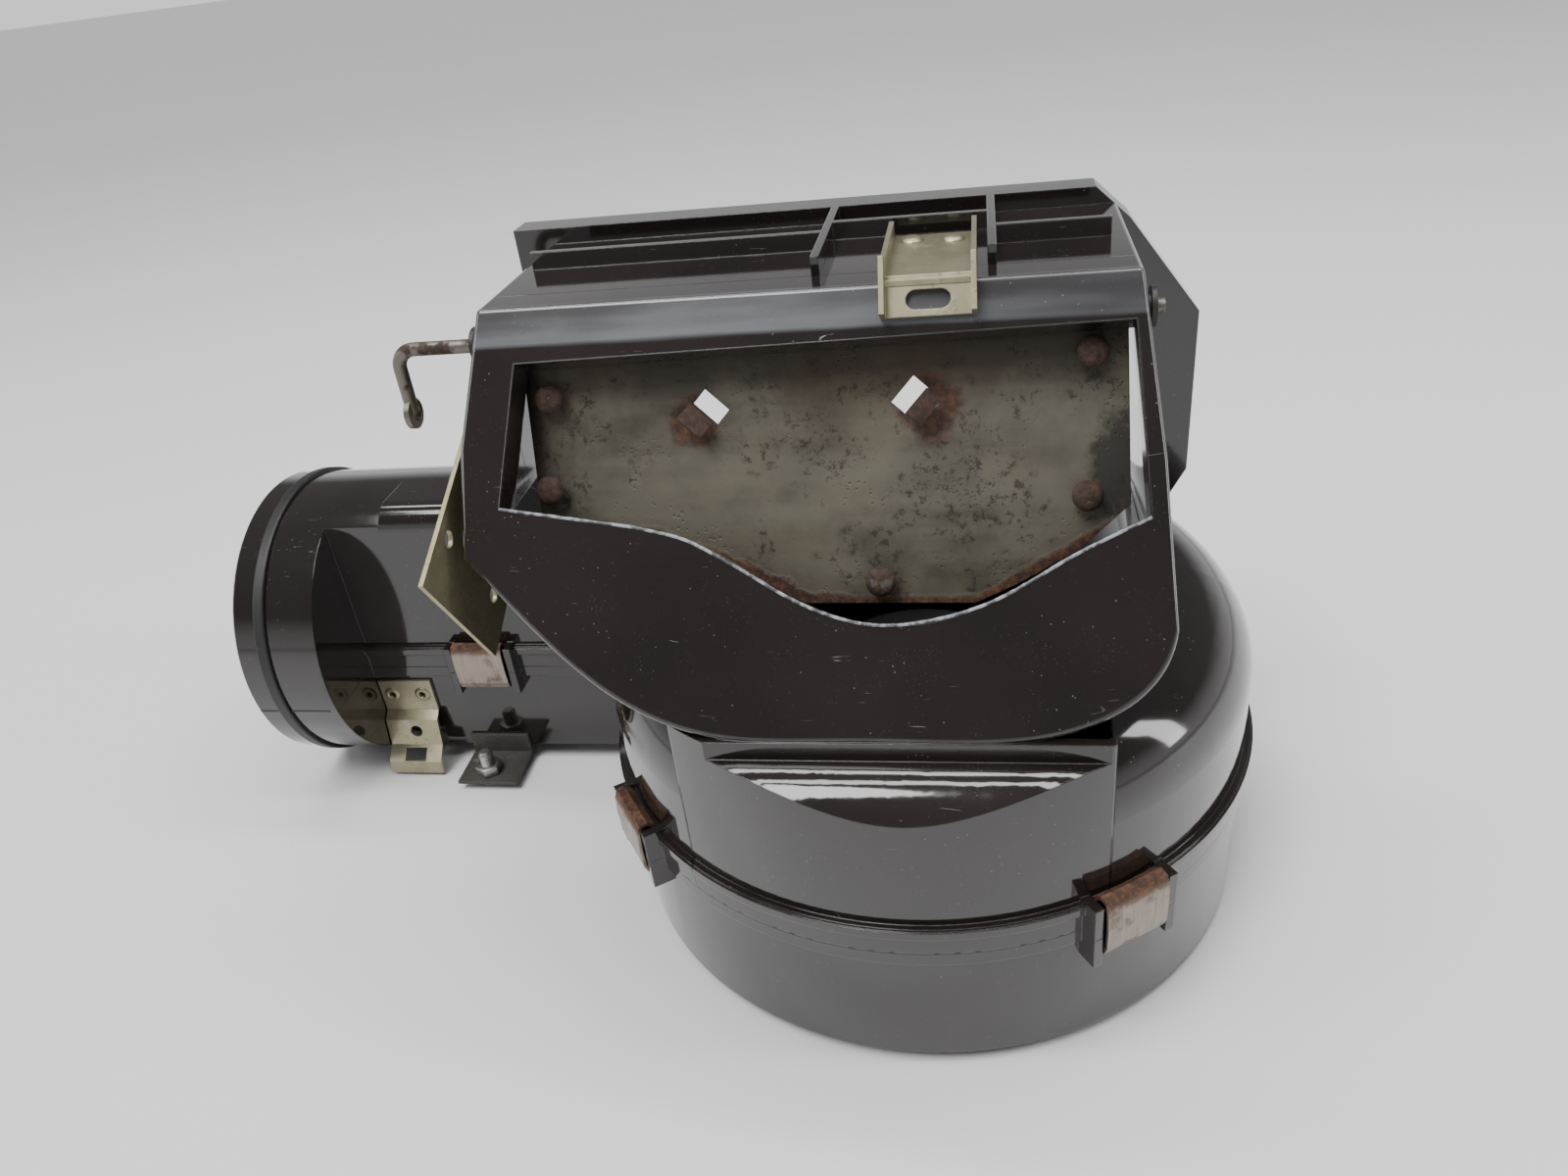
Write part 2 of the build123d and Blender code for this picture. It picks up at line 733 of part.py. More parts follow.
# ---- Top bracket: a channel that hooks over the panel's top edge ----
with BuildPart() as top_bracket:
    with BuildSketch(Plane.XY.offset(box_top)):
        with Locations((top_mid, panel_edge_y + top_long / 2 - 1)):
            Rectangle(top_w, top_long + 2)
    extrude(amount=sheet)
    for flange_x in (top_x[0], top_x[1] - sheet):
        with BuildSketch(Plane.XY.offset(box_top)):
            with Locations((flange_x + sheet / 2, panel_edge_y + top_long / 2 - 1)):
                Rectangle(sheet, top_long + 2)
        extrude(amount=top_flange)
        with BuildSketch(panel.offset(hook_gap)):
            with Locations((flange_x + sheet / 2, panel_top - hook_drop / 2 + 2.5)):
                Rectangle(sheet, hook_drop + 5)
        extrude(amount=top_flange)
    with BuildSketch(panel.offset(hook_gap)):
        with Locations((top_mid, panel_top - hook_drop / 2 + 0.7)):
            Rectangle(top_w, hook_drop + 1.4)
        with Locations((top_mid, panel_top - hook_slot)):
            SlotOverall(10, 4.5, mode=Mode.SUBTRACT)
    extrude(amount=sheet)
    with BuildSketch(Plane.XY.offset(box_top)):
        with Locations(*top_rivets):
            Circle(rivet_r)
    extrude(amount=sheet, mode=Mode.SUBTRACT)

with BuildPart() as top_rivet_pair:
    with BuildSketch(Plane.XY.offset(box_top - wall)):
        with Locations(*top_rivets):
            Circle(rivet_r)
    extrude(amount=wall + sheet)
    with BuildSketch(Plane.XY.offset(box_top + sheet)):
        with Locations(*top_rivets):
            Circle(2 * rivet_r)
    extrude(amount=rivet_high)

# ---- Actuator bracket on the left side of the box ----
act_points = ((6.0, 154.0), (-27.0, 151.5), (-67.0, 131.7), (-43.5, 95.5), (-30.0, 103.0), (8.0, 124.0))
act_holes = ((-49.5, 134.5), (-35.5, 109.8))
with BuildPart() as actuator_bracket:
    with BuildSketch(Plane.YZ.offset(act_x - sheet)):
        with BuildLine():
            Polyline(act_points, close=True)
        make_face()
        with Locations(*act_holes):
            Circle(2.2, mode=Mode.SUBTRACT)
        with Locations(*act_screws):
            Circle(screw_r + 0.3, mode=Mode.SUBTRACT)
    extrude(amount=sheet)

with BuildPart() as actuator_bracket_screws:
    with BuildSketch(Plane.YZ.offset(act_x - sheet - screw_head_h)):
        with Locations(*act_screws):
            Circle(screw_head_r)
    extrude(amount=screw_head_h)
    with BuildSketch(Plane.YZ.offset(act_x - sheet)):
        with Locations(*act_screws):
            Circle(screw_r)
    extrude(amount=sheet + act_boss + wall)

# ---- Duct bracket: stepped strip with a window, held by two eyelets ----
duct_bracket_x = (-196.2, -176.2)
duct_bracket_mid = sum(duct_bracket_x) / 2
duct_bracket_w = duct_bracket_x[1] - duct_bracket_x[0]
strip_path = ((0.0, 36.0), (0.0, 23.5), (-3.0, 21.0), (-4.5, 11.0), (-9.0, 6.5), (-9.5, 1.8))
eyelets = ((duct_bracket_mid - 5.8, 30.0), (duct_bracket_mid + 5.8, 30.0))
eyelet_r = 1.8
with BuildPart() as duct_bracket:
    with BuildSketch(Plane.YZ.offset(duct_bracket_x[0])):
        with BuildLine():
            Polyline(
                *((duct_front + y, z) for y, z in strip_path),
                *((duct_front + y - sheet, z - 0.4) for y, z in reversed(strip_path)),
                close=True,
            )
        make_face()
    extrude(amount=duct_bracket_w)
    with BuildSketch(Plane.XZ.offset(-duct_front)):
        with Locations(*eyelets):
            Circle(eyelet_r)
        with Locations((duct_bracket_mid + 1.0, 16.0)):
            Circle(2.2)
        with Locations((duct_bracket_mid, 8.0)):
            Rectangle(8.0, 3.5)
    extrude(amount=20, mode=Mode.SUBTRACT)

with BuildPart() as duct_bracket_eyelets:
    with BuildSketch(Plane.XZ.offset(-duct_front + sheet)):
        with Locations(*eyelets):
            Circle(eyelet_r + 1.2)
            Circle(eyelet_r - 0.7, mode=Mode.SUBTRACT)
    extrude(amount=0.6)
    with BuildSketch(Plane.XZ.offset(-duct_front)):
        with Locations(*eyelets):
            Circle(eyelet_r)
            Circle(eyelet_r - 0.7, mode=Mode.SUBTRACT)
    extrude(amount=sheet)

# ---- Stud bracket on the flat front of the duct ----
stud_at = (-157.0, duct_front - 12.0)
stud_r = 2.5
stud_root = 2.0  # where the nut and the bracket grip it
stud_top = 13.0
stud_foot = 18.0  # depth of the bracket's lower leg
stud_leg = 11.5  # top of its upright leg
nut_h = 3.5
with BuildPart() as stud_bracket:
    with BuildSketch(Plane.YZ.offset(stud_at[0] - 10)):
        with BuildLine():
            Polyline(
                (duct_front, stud_leg),
                (duct_front, foot_h - sheet),
                (duct_front - stud_foot, foot_h - sheet),
                (duct_front - stud_foot, foot_h),
                (duct_front - sheet, foot_h),
                (duct_front - sheet, stud_leg),
                close=True,
            )
        make_face()
    extrude(amount=22)
    with BuildSketch(Plane.XY):
        with Locations(stud_at):
            Circle(stud_root)
    extrude(amount=foot_h, mode=Mode.SUBTRACT)

with BuildPart() as mounting_stud:
    with BuildSketch(Plane.XY.offset(foot_h - sheet)):
        with Locations(stud_at):
            Circle(stud_root)
    extrude(amount=nut_h + sheet)
    with BuildSketch(Plane.XY.offset(foot_h + nut_h)):
        with Locations(stud_at):
            Circle(stud_r)
    extrude(amount=stud_top - foot_h - nut_h)
    with BuildSketch(Plane.XY.offset(foot_h - sheet - 1.5)):
        with Locations(stud_at):
            Circle(stud_r + 2)
    extrude(amount=1.5)

with BuildPart() as stud_nut:
    with BuildSketch(Plane.XY.offset(foot_h)):
        with Locations(stud_at):
            RegularPolygon(radius=4.0, side_count=6, major_radius=False)
            Circle(stud_root, mode=Mode.SUBTRACT)
    extrude(amount=nut_h)

# ---- Spring clips that hold the casing halves together ----
top_jaw = seam_z + rim_up
low_jaw = seam_z - rim_down
clip_back = ((0.6, 0.0), (0.6, 0.9), (2.6, 2.5), (4.9, 2.1), (5.9, -0.4))
clip_front = ((5.1, -0.6), (4.4, 1.3), (2.8, 1.6), (1.1, 0.0))
clip_ring = (
    [(x, top_jaw + z) for x, z in clip_back]
    + [(6.1, (top_jaw + low_jaw) / 2)]
    + [(x, low_jaw - z) for x, z in reversed(clip_back)]
    + [(x, low_jaw - z) for x, z in reversed(clip_front)]
    + [(5.3, (top_jaw + low_jaw) / 2)]
    + [(x, top_jaw + z) for x, z in clip_front]
)
with BuildPart() as casing_clips:
    for place in clip_planes():
        with BuildSketch(place.offset(-clip_w / 2)):
            with BuildLine():
                Polyline(clip_ring, close=True)
            make_face()
        extrude(amount=clip_w)

# ---- Motor ----
plate_top = foot_h - gasket_t
plate_low = plate_top - plate_t
with BuildPart() as motor_gasket:
    with BuildSketch(Plane.XY.offset(plate_top)):
        Circle(plate_r)
        Circle(gasket_in, mode=Mode.SUBTRACT)
        with screw_spots:
            Circle(screw_r + 0.4, mode=Mode.SUBTRACT)
    extrude(amount=gasket_t)

with BuildPart() as motor_plate:
    with BuildSketch(Plane.XY.offset(plate_low)):
        Circle(plate_r)
        Circle(cap_r, mode=Mode.SUBTRACT)
        with screw_spots:
            Circle(screw_r + 0.4, mode=Mode.SUBTRACT)
    extrude(amount=plate_t)

with BuildPart() as motor_screws:
    with BuildSketch(Plane.XY.offset(plate_low - screw_head_h)):
        with screw_spots:
            Circle(screw_head_r)
    extrude(amount=screw_head_h)
    with BuildSketch(Plane.XY.offset(plate_low)):
        with screw_spots:
            Circle(screw_r)
    extrude(amount=foot_h - plate_low + screw_deep)

with BuildPart() as motor_can:
    with BuildSketch(Plane.XY.offset(plate_top)):
        Circle(can_r)
    extrude(amount=can_top - plate_top)
    fillet(motor_can.edges().group_by(Axis.Z)[-1], 3)
    with BuildSketch(Plane.XY.offset(plate_top)):
        Circle(can_r - can_wall)
    extrude(amount=can_top - plate_top - can_wall, mode=Mode.SUBTRACT)
    with BuildSketch(Plane.XY.offset(can_top - can_wall)):
        Circle(bearing_r)
    extrude(amount=can_wall + bearing_h)
    with BuildSketch(Plane.XY.offset(can_top - can_wall)):
        Circle(shaft_r + shaft_fit)
    extrude(amount=can_wall + bearing_h, mode=Mode.SUBTRACT)

with BuildPart() as motor_magnets:
    magnet_out = can_r - can_wall
    with BuildSketch(Plane.XY.offset(armature_z[0])):
        Circle(magnet_out)
        Circle(magnet_out - magnet_t, mode=Mode.SUBTRACT)
        Rectangle(magnet_out, 3 * magnet_out, mode=Mode.SUBTRACT)
    extrude(amount=armature_z[1] - armature_z[0])

with BuildPart() as motor_brush_carrier:
    with BuildSketch(Plane.XY.offset(cap_clear)):
        Circle(cap_r)
    extrude(amount=cap_h)
    with BuildSketch(Plane.XY.offset(cap_clear + wall)):
        Circle(shaft_r + shaft_fit)
    extrude(amount=cap_h, mode=Mode.SUBTRACT)

with BuildPart() as motor_terminals:
    with BuildSketch(Plane.XY.offset(cap_clear)):
        with Locations((cap_r + 3.5, term_half), (cap_r + 3.5, -term_half)):
            Rectangle(blade_term[1], blade_term[0])
        Circle(cap_r, mode=Mode.SUBTRACT)
    extrude(amount=blade_term[2])

with BuildPart() as motor_shaft:
    with BuildSketch(Plane.XY.offset(cap_clear + wall)):
        Circle(shaft_r)
    extrude(amount=shaft_top - cap_clear - wall)

with BuildPart() as motor_armature:
    with BuildSketch(Plane.XY.offset(armature_z[0])):
        Circle(armature_r)
    extrude(amount=armature_z[1] - armature_z[0])
    with BuildSketch(Plane.XY.offset(cap_clear + cap_h + 0.6)):
        Circle(commutator_r)
    extrude(amount=armature_z[0] - cap_clear - cap_h - 0.6)
    with BuildSketch(Plane.XY.offset(cap_clear)):
        Circle(shaft_r)
    extrude(amount=armature_z[1], mode=Mode.SUBTRACT)

# ---- Impeller: cup, disc, blades and shroud ring in one moulding ----
with BuildPart() as impeller:
    with BuildSketch(Plane.XZ):
        with BuildLine():
            Polyline(
                (shaft_r, cup_z),
                (cup_top_r - fan_disc_t, cup_z),
                (cup_r, fan_disc_z),
                (fan_r, fan_disc_z),
                (fan_r, fan_disc_z + fan_disc_t),
                (cup_r + fan_disc_t, fan_disc_z + fan_disc_t),
                (cup_top_r, cup_z + fan_disc_t),
                (hub_r, cup_z + fan_disc_t),
                (hub_r, hub_top),
                (shaft_r, hub_top),
                close=True,
            )
        make_face()
    revolve(axis=Axis.Z)
    with BuildSketch(Plane.XY.offset(fan_disc_z + fan_disc_t / 2)):
        with BuildLine():
            SagittaArc((blade_in, 0), (fan_r - 0.5, -5.0), blade_bulge)
            SagittaArc((fan_r - 0.5, -5.0), (fan_r - 0.5, -5.0 + blade_t), 0.01)
            SagittaArc((fan_r - 0.5, -5.0 + blade_t), (blade_in, blade_t), -blade_bulge)
            Line((blade_in, blade_t), (blade_in, 0))
        make_face()
    blade = extrude(amount=fan_top - fan_disc_z - fan_disc_t / 2, mode=Mode.PRIVATE)
    with PolarLocations(0, blade_count):
        add(blade)
    with BuildSketch(Plane.XY.offset(fan_top - fan_ring_h)):
        Circle(fan_r)
        Circle(fan_ring_in, mode=Mode.SUBTRACT)
    extrude(amount=fan_ring_h)

with BuildPart() as impeller_clip:
    with BuildSketch(Plane.XY.offset(hub_top)):
        Circle(clip_nut_r)
        Circle(shaft_r, mode=Mode.SUBTRACT)
    extrude(amount=clip_nut_h)

pieces = {
    "lower_scroll_casing": lower_scroll_casing.part,
    "upper_scroll_casing": upper_scroll_casing.part,
    "intake_front_moulding": intake_front_moulding.part,
    "intake_rear_moulding": intake_rear_moulding.part,
    "spigot_seal_ring": spigot_seal_ring.part,
    "flap_plate": flap_plate_drilled.part,
    "flap_seal": flap_seal.part,
    "flap_rivets": flap_rivets.part,
    "flap_spindle": flap_spindle.part,
    "spindle_bushes": spindle_bushes.part,
    "top_bracket": top_bracket.part,
    "top_bracket_rivets": top_rivet_pair.part,
    "actuator_bracket": actuator_bracket.part,
    "actuator_bracket_screws": actuator_bracket_screws.part,
    "duct_bracket": duct_bracket.part,
    "duct_bracket_eyelets": duct_bracket_eyelets.part,
    "stud_bracket": stud_bracket.part,
    "mounting_stud": mounting_stud.part,
    "stud_nut": stud_nut.part,
    "casing_clips": casing_clips.part,
    "motor_gasket": motor_gasket.part,
    "motor_plate": motor_plate.part,
    "motor_screws": motor_screws.part,
    "motor_can": motor_can.part,
    "motor_magnets": motor_magnets.part,
    "motor_brush_carrier": motor_brush_carrier.part,
    "motor_terminals": motor_terminals.part,
    "motor_shaft": motor_shaft.part,
    "motor_armature": motor_armature.part,
    "impeller": impeller.part,
    "impeller_clip": impeller_clip.part,
}
for name, piece in pieces.items():
    piece.label = name
    export_step(piece, f"parts/{name}.step")
print("flap axis", round(axis_y, 2), round(axis_z, 2), "box top", round(box_top, 2))
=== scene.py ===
import json
from math import cos, pi, radians, sin

import bmesh
import bpy
from bpy.props import FloatProperty, FloatVectorProperty, IntProperty, PointerProperty
from mathutils import Matrix, Vector


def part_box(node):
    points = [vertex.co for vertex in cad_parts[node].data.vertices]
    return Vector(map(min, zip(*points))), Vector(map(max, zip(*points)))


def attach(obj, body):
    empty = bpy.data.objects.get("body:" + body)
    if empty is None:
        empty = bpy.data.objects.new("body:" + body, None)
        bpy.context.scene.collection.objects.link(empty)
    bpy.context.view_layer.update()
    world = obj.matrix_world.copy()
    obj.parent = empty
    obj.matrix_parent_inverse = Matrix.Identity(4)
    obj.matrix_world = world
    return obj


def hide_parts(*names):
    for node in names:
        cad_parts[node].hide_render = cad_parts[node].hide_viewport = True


bl_info = {
    "name": "Scroll Blower Housing Looks",
    "version": (1, 0, 0),
    "blender": (4, 5, 0),
    "location": "View3D > Sidebar > Blower",
    "description": "Finishes and small fittings for a scroll blower housing with a flap-controlled intake",
    "category": "Object",
}

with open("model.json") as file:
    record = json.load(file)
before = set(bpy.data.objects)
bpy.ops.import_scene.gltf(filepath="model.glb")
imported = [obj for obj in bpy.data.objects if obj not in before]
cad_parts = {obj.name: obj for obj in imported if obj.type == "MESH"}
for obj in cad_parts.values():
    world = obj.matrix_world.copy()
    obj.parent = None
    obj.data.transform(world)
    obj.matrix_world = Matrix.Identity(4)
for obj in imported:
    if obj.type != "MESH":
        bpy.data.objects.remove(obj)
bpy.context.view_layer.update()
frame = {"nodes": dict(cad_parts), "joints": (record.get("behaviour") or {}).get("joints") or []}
NODES = frame["nodes"]

MM = 0.001
DRUM_TOP = 0.093
SEAM_Z = 0.042
# The sloping intake panel: its foot, and the directions up it and out of it.
PANEL_FOOT = Vector((0.0, -0.078, DRUM_TOP))
TILT = radians(32)
PANEL_UP = Vector((0.0, sin(TILT), cos(TILT)))
PANEL_OUT = Vector((0.0, -cos(TILT), sin(TILT)))
# The flap's spindle, and the same directions for the flap as it hangs.
HINGE = next(Vector(j["pos_m"]) for j in frame["joints"] if j["name"] == "flap_hinge")
HANG = radians(24)
FLAP_UP = Vector((0.0, sin(HANG), cos(HANG)))
FLAP_OUT = Vector((0.0, -cos(HANG), sin(HANG)))
# How far the flap's front face stands in front of the spindle's axis.
FLAP_FACE = 0.00175
# The spigot: its outer radius in millimetres, and where it meets its flange.
SPIGOT_R = 50.8
SPIGOT_ROOT = -0.1992
# Corners that turn by more than this are drawn sharp.
SHARP_ANGLE = radians(40)


# ---------------------------------------------------------------------------
# Shader maths
# ---------------------------------------------------------------------------
class Field:
    """A number that varies over a surface. Arithmetic on it adds Math nodes."""

    def __init__(self, finish, socket):
        self.finish = finish
        self.socket = socket

    def _math(self, operation, *values):
        return self.finish.add("ShaderNodeMath", {"operation": operation}, *values).field()

    def __add__(self, other):
        return self._math("ADD", self, other)

    def __radd__(self, other):
        return self._math("ADD", other, self)

    def __sub__(self, other):
        return self._math("SUBTRACT", self, other)

    def __rsub__(self, other):
        return self._math("SUBTRACT", other, self)

    def __mul__(self, other):
        return self._math("MULTIPLY", self, other)

    def __pow__(self, other):
        return self._math("POWER", self, other)

    def __abs__(self):
        return self._math("ABSOLUTE", self)

    def fraction(self):
        return self._math("FRACT", self)

    def lower(self, other):
        return self._math("MINIMUM", self, other)

    def higher(self, other):
        return self._math("MAXIMUM", self, other)

    def ramp(self, low, high):
        """0 below low, 1 above high and smooth between; low may be the larger."""
        node = self.finish.add(
            "ShaderNodeMapRange",
            {"interpolation_type": "SMOOTHSTEP"},
            Value=self,
            **{"From Min": low, "From Max": high},
        )
        return node.field()


class Added:
    """A node that has just been added, and its outputs."""

    def __init__(self, finish, node):
        self.finish = finish
        self.node = node

    def field(self, output=0):
        return Field(self.finish, self.node.outputs[output])

    def out(self, output=0):
        return self.node.outputs[output]


class Finish:
    """One procedural material, built round a Principled shader."""

    def __init__(self, name, **constants):
        self.material = bpy.data.materials.new(name)
        self.material.use_nodes = True
        self.tree = self.material.node_tree
        self.shader = self.tree.nodes["Principled BSDF"]
        for socket, value in constants.items():
            self.shader.inputs[socket.replace("_", " ")].default_value = value
        coordinates = self.add("ShaderNodeTexCoord", {})
        scaled = self.add(
            "ShaderNodeVectorMath", {"operation": "SCALE"}, coordinates.out("Object"), Scale=1 / MM
        )
        self.place = scaled.out()
        split = self.add("ShaderNodeSeparateXYZ", {}, self.place)
        self.x, self.y, self.z = (split.field(axis) for axis in "XYZ")

    def add(self, kind, settings, *values, **named):
        """Add a node: its settings first, then the values or links of its sockets."""
        node = self.tree.nodes.new(kind)
        for setting, value in settings.items():
            setattr(node, setting, value)
        for key, value in [*enumerate(values), *named.items()]:
            socket = node.inputs[key]
            if isinstance(value, Field):
                self.tree.links.new(value.socket, socket)
            elif isinstance(value, bpy.types.NodeSocket):
                self.tree.links.new(value, socket)
            else:
                socket.default_value = value
        return Added(self, node)

    def noise(self, scale, detail=3.0, rough=0.5, stretch=(1, 1, 1), twist=0.0):
        """Noise between 0 and 1; scale is per millimetre."""
        placed = self.add(
            "ShaderNodeMapping",
            {},
            self.place,
            Rotation=(0.0, twist, twist),
            Scale=tuple(scale * s for s in stretch),
        )
        node = self.add(
            "ShaderNodeTexNoise",
            {},
            placed.out(),
            Scale=1.0,
            Detail=detail,
            Roughness=rough,
        )
        return node.field("Fac")

    def cells(self, scale):
        """Distance to scattered points; scale is per millimetre."""
        return self.add("ShaderNodeTexVoronoi", {}, self.place, Scale=scale).field("Distance")

    def along(self, direction, origin):
        """Distance in millimetres from a point along a direction."""
        offset = direction.dot(origin) / MM
        total = 0.0 - offset
        for axis, part in zip((self.x, self.y, self.z), direction):
            if abs(part) > 1e-6:
                total = axis * part + total
        return total

    def blend(self, mask, under, over):
        """Colour that goes from under to over with the mask."""
        node = self.add("ShaderNodeMix", {"data_type": "RGBA"}, Factor=mask)
        for key, value in ((6, under), (7, over)):
            if isinstance(value, tuple):
                node.node.inputs[key].default_value = (*value, 1.0)
            else:
                self.tree.links.new(value, node.node.inputs[key])
        return node.node.outputs[2]

    def scratches(self):
        """Thin straight marks in three directions, 1 on the mark."""
        marks = None
        for twist, scale in ((0.4, 0.030), (1.3, 0.036), (2.2, 0.026)):
            line = self.noise(scale, 0.0, 0.4, (0.5, 14.0, 3.0), twist)
            patch = self.noise(0.11, 2.0, 0.6, twist=twist)
            thin = abs(line - 0.5).ramp(0.0035, 0.0006) * patch.ramp(0.66, 0.74)
            marks = thin if marks is None else marks.higher(thin)
        return marks

    def specks(self, scale, size, spread=0.55):
        """Scattered round specks, gathered in patches."""
        patch = self.noise(scale * 0.12, 2.0).ramp(spread - 0.08, spread + 0.08)
        return self.cells(scale).ramp(size, size * 0.5) * patch

    def done(self, colour, roughness, metallic, height=None, depth=0.05, edge=0.0):
        """Connect the shader. Height is a bump of depth millimetres; edge rounds hard corners."""
        self.tree.links.new(colour, self.shader.inputs["Base Color"])
        for socket, value in (("Roughness", roughness), ("Metallic", metallic)):
            if isinstance(value, Field):
                self.tree.links.new(value.socket, self.shader.inputs[socket])
            else:
                self.shader.inputs[socket].default_value = value
        normal = None
        if edge:
            normal = self.add("ShaderNodeBevel", {"samples": 6}, Radius=edge * MM).out()
        if height is not None:
            bump = self.add(
                "ShaderNodeBump", {}, Strength=1.0, Distance=depth * MM, Height=height
            )
            if normal is not None:
                self.tree.links.new(normal, bump.node.inputs["Normal"])
            normal = bump.out()
        if normal is not None:
            self.tree.links.new(normal, self.shader.inputs["Normal"])
        return self.material


# ---------------------------------------------------------------------------
# Finishes
# ---------------------------------------------------------------------------
def upright_lines(f, bottom, top):
    """The two upright parting lines on the front, fading in from bottom to top."""
    lines = abs(f.x + 56.0).lower(abs(f.x - 47.0)).ramp(0.35, 0.15)
    return lines * f.z.ramp(bottom, top) * f.y.ramp(-60.0, -62.0)


def moulded_plastic(name, look, intake=False):
    """Glossy black-brown moulded plastic with scuffs, dust and parting lines; on the intake, a pale top band
    of scuffs and painted sheen.
    """
    f = Finish(name, Specular_IOR_Level=0.5, IOR=look.gloss_index, Coat_Weight=0.6, Coat_Roughness=0.05)
    seam_z = SEAM_Z / MM
    base = tuple(look.colour)
    cloudy = f.noise(0.02, 3.0)
    colour = f.blend(cloudy.ramp(0.35, 0.7), base, tuple(c * 1.5 for c in base))
    marks = f.scratches() * look.wear
    dust = f.specks(0.45, 0.09, 0.5) * look.wear
    fine = f.specks(1.3, 0.16, 0.55) * look.wear
    haze = f.noise(0.035, 4.0, 0.6).ramp(0.55, 0.8)
    pale = (marks * 0.55).higher(dust * 0.6).higher(fine * 0.22)
    rough = 0.07 + haze * 0.10 + marks * 0.3 + dust * 0.3 + f.noise(0.3, 2.0) * 0.04
    seam = abs(f.z - seam_z).ramp(0.28, 0.12)
    if intake:
        up = f.along(PANEL_UP, PANEL_FOOT)
        out = f.along(PANEL_OUT, PANEL_FOOT)
        on_face = out.ramp(-2.0, -0.8)
        # Pale top band on the panel's face, partly scuffs and partly painted sheen: the grey band and its
        # paler bluish patches stand in for light reflected from above as well as wear.
        streak = f.noise(0.02, 4.0, 0.6, (0.5, 6.0, 6.0))
        ragged = up + (streak - 0.5) * 3.0
        scuffed_sheen_band = ragged.ramp(95.0, 96.5) * on_face
        bare = scuffed_sheen_band * f.noise(0.03, 3.0, 0.55, (0.4, 3.0, 3.0)).ramp(0.30, 0.75)
        colour = f.blend(scuffed_sheen_band * 0.55, colour, (0.060, 0.060, 0.064))
        colour = f.blend(bare * 0.6, colour, (0.17, 0.18, 0.195))
        rough = rough + scuffed_sheen_band * 0.12 + bare * 0.10
        seam = seam.higher(upright_lines(f, 93.5, 92.5))
        split = abs(f.y + 12.0).ramp(0.28, 0.12) * f.z.ramp(93.0, 94.0)
        seam = seam.higher(split)
    else:
        seam = seam.higher(upright_lines(f, seam_z - 0.5, seam_z))
    colour = f.blend(pale, colour, (0.45, 0.44, 0.42))
    colour = f.blend(seam * 0.9, colour, (0.002, 0.002, 0.002))
    height = f.noise(0.018, 1.0) * 2.0 + f.noise(0.08, 2.0) * 0.25 - seam * 3.0 - marks * 0.3
    return f.done(colour, rough.lower(0.75), 0.0, height, 0.12, edge=0.5)


def flap_lower_edge(f):
    """Height of the flap's lower edge under the spindle, as a field of x."""
    left = (f.x * -0.5 - 78.0).lower(f.x * -0.13 - 55.8)
    right = f.x * 0.56 - 76.0
    return left.higher(right).higher(-66.3)


